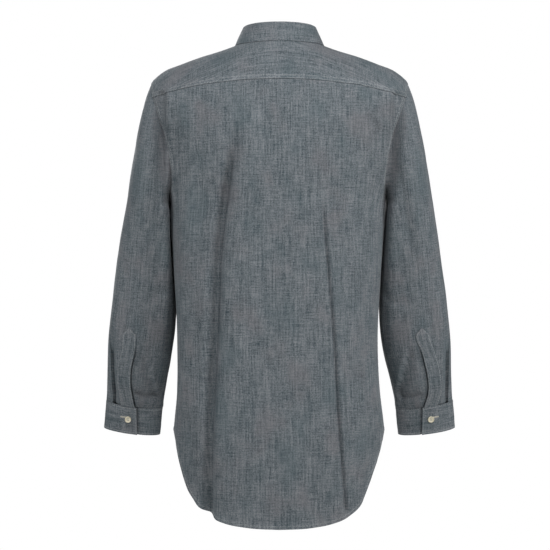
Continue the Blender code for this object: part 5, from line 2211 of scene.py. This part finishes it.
@dataclass(frozen=True)
class Chambray:
    """Slubby chambray: a dark indigo warp crossed by a light grey weft, washed unevenly.

    Args:
        name: the material's name.
        dark: colour of the warp.
        light: colour of the weft.
        warm: tint of the faded patches.
        cool: tint of the patches that kept their dye.
        shift: moves the pattern, so that pieces differ.
        roughness: of the yarn.
        sheen: weight of the fuzz.
        yarn_pair: how far two yarns reach, in metres.
    """

    name: str
    dark: tuple[float, float, float] = (0.030, 0.047, 0.056)
    light: tuple[float, float, float] = (0.236, 0.247, 0.259)
    warm: tuple[float, float, float] = (0.158, 0.140, 0.146)
    cool: tuple[float, float, float] = (0.084, 0.115, 0.126)
    shift: float = 0.0
    roughness: float = 0.92
    sheen: float = 0.12
    yarn_pair: float = 0.00062

    def build(self) -> bpy.types.Material:
        """Makes the finish.

        Returns:
            The material.
        """
        s = Shader(self.name)
        places = s.node("ShaderNodeUVMap")
        places.uv_map = "cloth"
        at = s.node("ShaderNodeVectorMath", Vector=places.outputs[0])
        at.operation = "ADD"
        at.inputs[1].default_value = (self.shift, self.shift * 1.7, 0)
        at = at.outputs[0]
        split = s.node("ShaderNodeSeparateXYZ", Vector=at)
        slub = s.noise(at, (430, 36, 1), 2, 0.55)
        strand = s.noise(at, (1500, 150, 1), 2, 0.5)
        long_slub = s.noise(at, (300, 9, 1), 1, 0.5)
        weft = s.noise(at, (46, 480, 1), 2, 0.55)
        mottle = s.noise(at, (420, 380, 1), 2, 0.6)
        patch = s.noise(at, (34, 24, 1), 3, 0.55)
        hue = s.noise(at, (17, 12, 3.1), 2, 0.5)
        yarn = 2 * math.pi / self.yarn_pair
        over = s.math("SINE", s.math("MULTIPLY", split.outputs[0], yarn))
        across = s.math("SINE", s.math("MULTIPLY", split.outputs[1], yarn))
        weave = s.math("MULTIPLY", over, across)
        light = s.math("MULTIPLY_ADD", slub, 0.8, -0.4)
        yarns = ((strand, 0.4), (long_slub, 0.45), (weft, 0.75), (mottle, 1.0), (patch, 0.4))
        for value, amount in yarns:
            light = s.math("ADD", light, s.math("MULTIPLY_ADD", value, amount, -amount / 2))
        light = s.math("ADD", light, s.math("MULTIPLY", weave, 0.1))
        worn = s.nodes.new("ShaderNodeAttribute")
        worn.attribute_name = "wear"
        rubbed = s.math("MULTIPLY", worn.outputs["Fac"], s.ramp(mottle, 0.35, 0.62))
        light = s.math("ADD", light, s.math("MULTIPLY", rubbed, 0.24))
        share = s.math("ADD", light, 0.46)
        share = s.ramp(share, -0.1, 1.1)
        colour = s.mix(share, self.dark, self.light)
        colour = s.mix(s.math("MULTIPLY", s.ramp(hue, 0.5, 0.72), 0.34), colour, self.warm)
        colour = s.mix(s.math("MULTIPLY", s.ramp(hue, 0.5, 0.28), 0.34), colour, self.cool)
        s.feed(s.surface.inputs["Base Color"], colour)
        rough = s.math("MULTIPLY_ADD", weft, 0.12, self.roughness - 0.06)
        s.feed(s.surface.inputs["Roughness"], rough)
        s.surface.inputs["Specular IOR Level"].default_value = 0.25
        s.surface.inputs["Sheen Weight"].default_value = self.sheen
        s.surface.inputs["Sheen Roughness"].default_value = 0.45
        s.surface.inputs["Sheen Tint"].default_value = (0.82, 0.86, 0.9, 1)
        height = s.math("MULTIPLY_ADD", slub, 0.5, s.math("MULTIPLY", weft, 0.35))
        height = s.math("ADD", height, s.math("MULTIPLY", weave, 0.12))
        bump = s.node("ShaderNodeBump", Strength=0.55, Distance=0.00035, Height=height)
        s.feed(s.surface.inputs["Normal"], bump.outputs[0])
        return s.material


@dataclass(frozen=True)
class ButtonShell:
    """Ivory plastic with a faint pearl and darker specks."""

    name: str = "ivory button"
    pale: tuple[float, float, float] = (0.78, 0.72, 0.56)
    deep: tuple[float, float, float] = (0.60, 0.53, 0.38)

    def build(self) -> bpy.types.Material:
        """Makes the finish.

        Returns:
            The material.
        """
        s = Shader(self.name)
        at = s.node("ShaderNodeTexCoord").outputs["Object"]
        cloud = s.noise(at, (330, 330, 330), 3)
        grain = s.noise(at, (1500, 500, 1500), 2)
        share = s.math("MULTIPLY_ADD", grain, 0.35, s.math("MULTIPLY", cloud, 0.65))
        s.feed(s.surface.inputs["Base Color"], s.mix(s.ramp(share, 0.35, 0.68), self.deep, self.pale))
        s.feed(s.surface.inputs["Roughness"], s.math("MULTIPLY_ADD", cloud, 0.18, 0.26))
        s.surface.inputs["IOR"].default_value = 1.5
        s.surface.inputs["Coat Weight"].default_value = 0.15
        bump = s.node("ShaderNodeBump", Strength=0.15, Distance=0.0001, Height=grain)
        s.feed(s.surface.inputs["Normal"], bump.outputs[0])
        return s.material


@dataclass(frozen=True)
class Thread:
    """Spun sewing thread with a twist.

    Args:
        name: the material's name.
        colour: of the lit strands.
        shade: between them.
    """

    name: str
    colour: tuple[float, float, float]
    shade: tuple[float, float, float]

    def build(self) -> bpy.types.Material:
        """Makes the finish.

        Returns:
            The material.
        """
        s = Shader(self.name)
        at = s.node("ShaderNodeTexCoord").outputs["Object"]
        twist = s.noise(at, (2600, 2600, 2600), 1)
        s.feed(s.surface.inputs["Base Color"], s.mix(s.ramp(twist, 0.35, 0.65), self.shade, self.colour))
        s.feed(s.surface.inputs["Roughness"], s.math("MULTIPLY_ADD", twist, 0.2, 0.6))
        s.surface.inputs["Sheen Weight"].default_value = 0.2
        bump = s.node("ShaderNodeBump", Strength=0.3, Distance=0.0001, Height=twist)
        s.feed(s.surface.inputs["Normal"], bump.outputs[0])
        return s.material


# ---- the studio ----


@dataclass
class Studio:
    """A plain pale floor, soft light and the photograph's camera.

    Args:
        camera_at: the camera's place in metres.
        lens: in millimetres, on a 36 mm sensor.
        floor_z: height of the floor.
        floor_size: how far across the floor is.
        wall: how bright the background is.
    """

    camera_at: tuple[float, float, float] = (0.008, 3.0, -0.399)
    lens: float = 112.2
    floor_z: float = -1.5
    floor_size: float = 6.6
    wall: float = 1.0

    def build(self) -> None:
        """Makes the camera, the floor, the sky and the lights."""
        self.camera()
        self.floor()
        self.sky()
        self.light("key", (-0.7, 2.4, 1.25), (0, 0, -0.2), 0.9, 34.5, (1.0, 0.985, 0.975))
        self.light("overhead", (0, 1.4, 1.4), (0, 0, -0.3), 1.2, 17, (0.86, 0.94, 1.0))
        self.light("left wing", (2.7, 1.4, 0.6), (0, 0, -0.35), 1.6, 40, (0.96, 0.985, 1.0))
        self.light("right wing", (-2.7, 1.4, 0.6), (0, 0, -0.35), 1.6, 53, (0.96, 0.985, 1.0))
        self.light("front", (1.3, -2.6, 0.7), (0, 0, -0.4), 1.5, 60)
        bpy.context.scene.view_settings.view_transform = "Standard"

    def camera(self) -> None:
        """Looks at the back of the shirt, square on."""
        data = bpy.data.cameras.new("camera")
        data.lens, data.sensor_width, data.clip_end = self.lens, 36, 30
        camera = bpy.data.objects.new("camera", data)
        camera.location = self.camera_at
        camera.rotation_euler = (math.radians(90), 0, math.radians(180))
        bpy.context.scene.collection.objects.link(camera)
        bpy.context.scene.camera = camera

    def floor(self) -> None:
        """A round floor below the shirt."""
        mesh = bpy.data.meshes.new("floor")
        shape = bmesh.new()
        bmesh.ops.create_circle(shape, cap_ends=True, segments=96, radius=self.floor_size / 2)
        shape.to_mesh(mesh)
        shape.free()
        mesh.transform(Matrix.Translation((0, 0, self.floor_z)))
        floor = made_object("floor", mesh)
        s = Shader("pale floor")
        at = s.node("ShaderNodeTexCoord").outputs["Object"]
        cloud = s.noise(at, (2.2, 2.2, 2.2), 2)
        s.feed(s.surface.inputs["Base Color"], s.mix(cloud, (0.78, 0.78, 0.77), (0.84, 0.84, 0.84)))
        s.surface.inputs["Roughness"].default_value = 0.8
        mesh.materials.append(s.material)

    def sky(self) -> None:
        """A white background, which the softboxes alone light the shirt in front of."""
        world = bpy.data.worlds.new("studio")
        world.use_nodes = True
        background = world.node_tree.nodes["Background"]
        background.inputs["Color"].default_value = (1, 1, 1, 1)
        background.inputs["Strength"].default_value = self.wall
        seen = world.cycles_visibility
        seen.diffuse = seen.glossy = seen.transmission = seen.scatter = False
        bpy.context.scene.world = world

    def light(self, name: str, at: tuple[float, float, float], aim: tuple[float, float, float],
              size: float, power: float, colour: tuple[float, float, float] = (1, 1, 1)) -> None:
        """Hangs a square softbox.

        Args:
            name: the light's name.
            at: where it hangs.
            aim: the place that it faces.
            size: how far across it is.
            power: in watts.
            colour: of its light.
        """
        data = bpy.data.lights.new(name, "AREA")
        data.size, data.energy, data.color = size, power, colour
        box = bpy.data.objects.new(name, data)
        box.location = at
        box.rotation_euler = (Vector(aim) - Vector(at)).to_track_quat("-Z", "Y").to_euler()
        bpy.context.scene.collection.objects.link(box)


# ---- the shirt ----

BUTTONS, FIRST_BUTTON_Z, BUTTON_PITCH = 7, -102, 83.0
FRONT_BUTTONHOLE, BUTTONHOLE_STEP = (-7.6, 7.6), 0.45


class Shirt:
    """The whole shirt: its cut pieces, its stitches and its buttons."""

    def __init__(self) -> None:
        """Makes the body's form and the finishes."""
        self.body = BodyForm()
        self.along = Chambray("chambray", shift=0.0).build()
        self.across = Chambray("chambray crosswise", shift=0.37).build()
        self.sleeves = Chambray("chambray of the sleeves", shift=0.71).build()
        self.shell = ButtonShell().build()
        self.grey = Thread("grey thread", (0.42, 0.43, 0.43), (0.27, 0.28, 0.28)).build()
        self.ivory = Thread("ivory thread", (0.72, 0.67, 0.56), (0.46, 0.42, 0.34)).build()

    def dress(self, cloth: Cloth, material: bpy.types.Material, slot: str, held: str,
              rests_on: list[str]) -> None:
        """Builds a cut piece and logs its faces and area.

        Args:
            cloth: the piece.
            material: its finish.
            slot: not used.
            held: not used.
            rests_on: not used.
        """
        made = cloth.build(material)
        LOG.info("%s: %d faces, %.4f square metres", made.name, len(made.data.polygons), cloth.area())

    def build(self) -> None:
        """Builds every piece."""
        self.trunk()
        for side in Side:
            self.sleeve(side)
        self.collar()

    def trunk(self) -> None:
        """The back, the yoke and the fronts."""
        panels = BodyPanels(self.body)
        back, yoke = panels.back(), panels.yoke()
        left, right = panels.front(Side.LEFT, panels.lap), panels.front(Side.RIGHT, 0.0)
        self.dress(back, self.along, "chambray", "hung", ["yoke"])
        self.dress(yoke, self.across, "chambray crosswise", "draped", ["collar_stand"])
        self.dress(left, self.along, "chambray", "hung", ["yoke"])
        self.dress(right, self.along, "chambray", "hung", ["yoke"])
        sewn = Stitches("stitches_body", StitchKind.TOP, self.grey)
        sewn.beside(back, back.edge("bottom"), 5.0)
        for away in (1.6, 7.2):
            foot = yoke.edge("bottom")
            ends = 2 * panels.ridge_parts
            sewn.beside(yoke, foot[ends : len(foot) - ends], away, 1)
            for side in ("left", "right"):
                sewn.beside(yoke, yoke.edge(side), away, 3)
                edge = back.edge(side)
                sewn.beside(back, edge[: panels.arm_rows + 1], away, 1)
                sewn.beside(back, edge[panels.arm_rows :], away, 2)
            sewn.beside(yoke, foot[: ends + 1], away, 1)
            sewn.beside(yoke, foot[len(foot) - ends - 1 :], away, 1)
            for cloth, seam in ((left, "left"), (right, "right")):
                arm = cloth.edge(seam)[panels.shoulder_rows :][: panels.arm_rows + 1]
                sewn.beside(cloth, arm, away, 1)
        for cloth, free in ((left, "right"), (right, "left")):
            sewn.beside(cloth, cloth.edge("bottom"), 5.0)
            sewn.beside(cloth, cloth.edge(free), 2.2, 1)
            sewn.beside(cloth, cloth.edge(free), 29.5, 1)
        sewn.build()
        self.front_buttons(left)

    def front_buttons(self, front: Cloth) -> None:
        """The row of buttons down the front, with their buttonholes in the left front."""
        form, button = self.body, Button()
        z = FIRST_BUTTON_Z - BUTTON_PITCH * np.arange(BUTTONS)
        run = form.run_at(np.full(BUTTONS, -math.pi / 2), z)
        angle = form.front_angle(0.0, run)
        facing = form.normals(angle, run)
        places = form.skin(angle, run) + facing * 2.2
        holes = Stitches("buttonholes_front", StitchKind.BUTTONHOLE, self.ivory)
        down, aside = buttonhole_oval(FRONT_BUTTONHOLE)
        for i in range(BUTTONS):
            oval = places[i] + np.stack([aside, 0 * aside, -down], axis=-1)
            holes.run(front, oval, BUTTONHOLE_STEP)
            turned = 8.0 * i
            button.sew_on(f"button_front_{i + 1}", places[i], facing[i], turned, self.shell, self.grey)
        holes.build()

    def sleeve(self, side: Side) -> None:
        """A sleeve with its placket, cuff, stitches and button."""
        arm = Sleeve(side, self.body)
        sleeve, placket, cuff = arm.cloth(), arm.placket(), arm.cuff()
        self.dress(sleeve, self.sleeves, "chambray", "hung", ["yoke", "back", f"front_{side.word}"])
        self.dress(placket, self.sleeves, "chambray", "laid", [sleeve.node])
        self.dress(cuff, self.across, "chambray crosswise", "laid", [sleeve.node])
        sewn = Stitches(f"stitches_sleeve_{side.word}", StitchKind.TOP, self.grey)
        for edge in ("left", "right"):
            sewn.beside(placket, placket.edge(edge), 1.7, 2)
            sewn.beside(cuff, cuff.edge(edge), 2.2, 1)
        for edge in ("top", "bottom"):
            sewn.beside(cuff, cuff.edge(edge), 3.2, 1)
        sewn.build()
        hole = Stitches(f"buttonhole_cuff_{side.word}", StitchKind.BUTTONHOLE, self.ivory)
        hole.run(cuff, arm.buttonhole(), BUTTONHOLE_STEP)
        hole.build()
        place, facing = arm.button_place()
        turned = 20.0 * side.value
        Button().sew_on(f"button_cuff_{side.word}", place, facing, turned, self.shell, self.grey)

    def collar(self) -> None:
        """The collar with its stitches and its button."""
        neck = Collar(self.body)
        stand, fall = neck.stand(), neck.fall()
        self.dress(stand, self.across, "chambray crosswise", "laid", ["yoke"])
        self.dress(fall, self.across, "chambray crosswise", "folded", ["collar_stand", "yoke"])
        sewn = Stitches("stitches_collar", StitchKind.TOP, self.grey)
        for edge in ("left", "right", "bottom"):
            sewn.beside(fall, fall.edge(edge), 5.2, 3)
        sewn.beside(stand, stand.edge("bottom"), 2.0, 2)
        sewn.build()
        angle = float(self.body.front_angle(0.0, np.array(0.0)))
        spots = neck.stand_points(np.array([angle, angle, angle + 0.02]), np.array([0.5, 0.6, 0.5]))
        facing = unit(np.cross(spots[2] - spots[0], spots[1] - spots[0]))
        across, up = buttonhole_oval(FRONT_BUTTONHOLE)
        hole = Stitches("buttonhole_collar", StitchKind.BUTTONHOLE, self.ivory)
        hole.run(stand, spots[0] + np.stack([across, 0 * up, up], axis=-1), BUTTONHOLE_STEP)
        hole.build()
        Button().sew_on("button_collar", spots[0] + facing * 1.9, facing, 0.0, self.shell, self.grey)


def main() -> None:
    """Builds the shirt, then the studio."""
    logging.basicConfig(level=logging.INFO, format="%(name)s: %(message)s")
    Shirt().build()
    Studio().build()


if __name__ == "__main__":
    main()
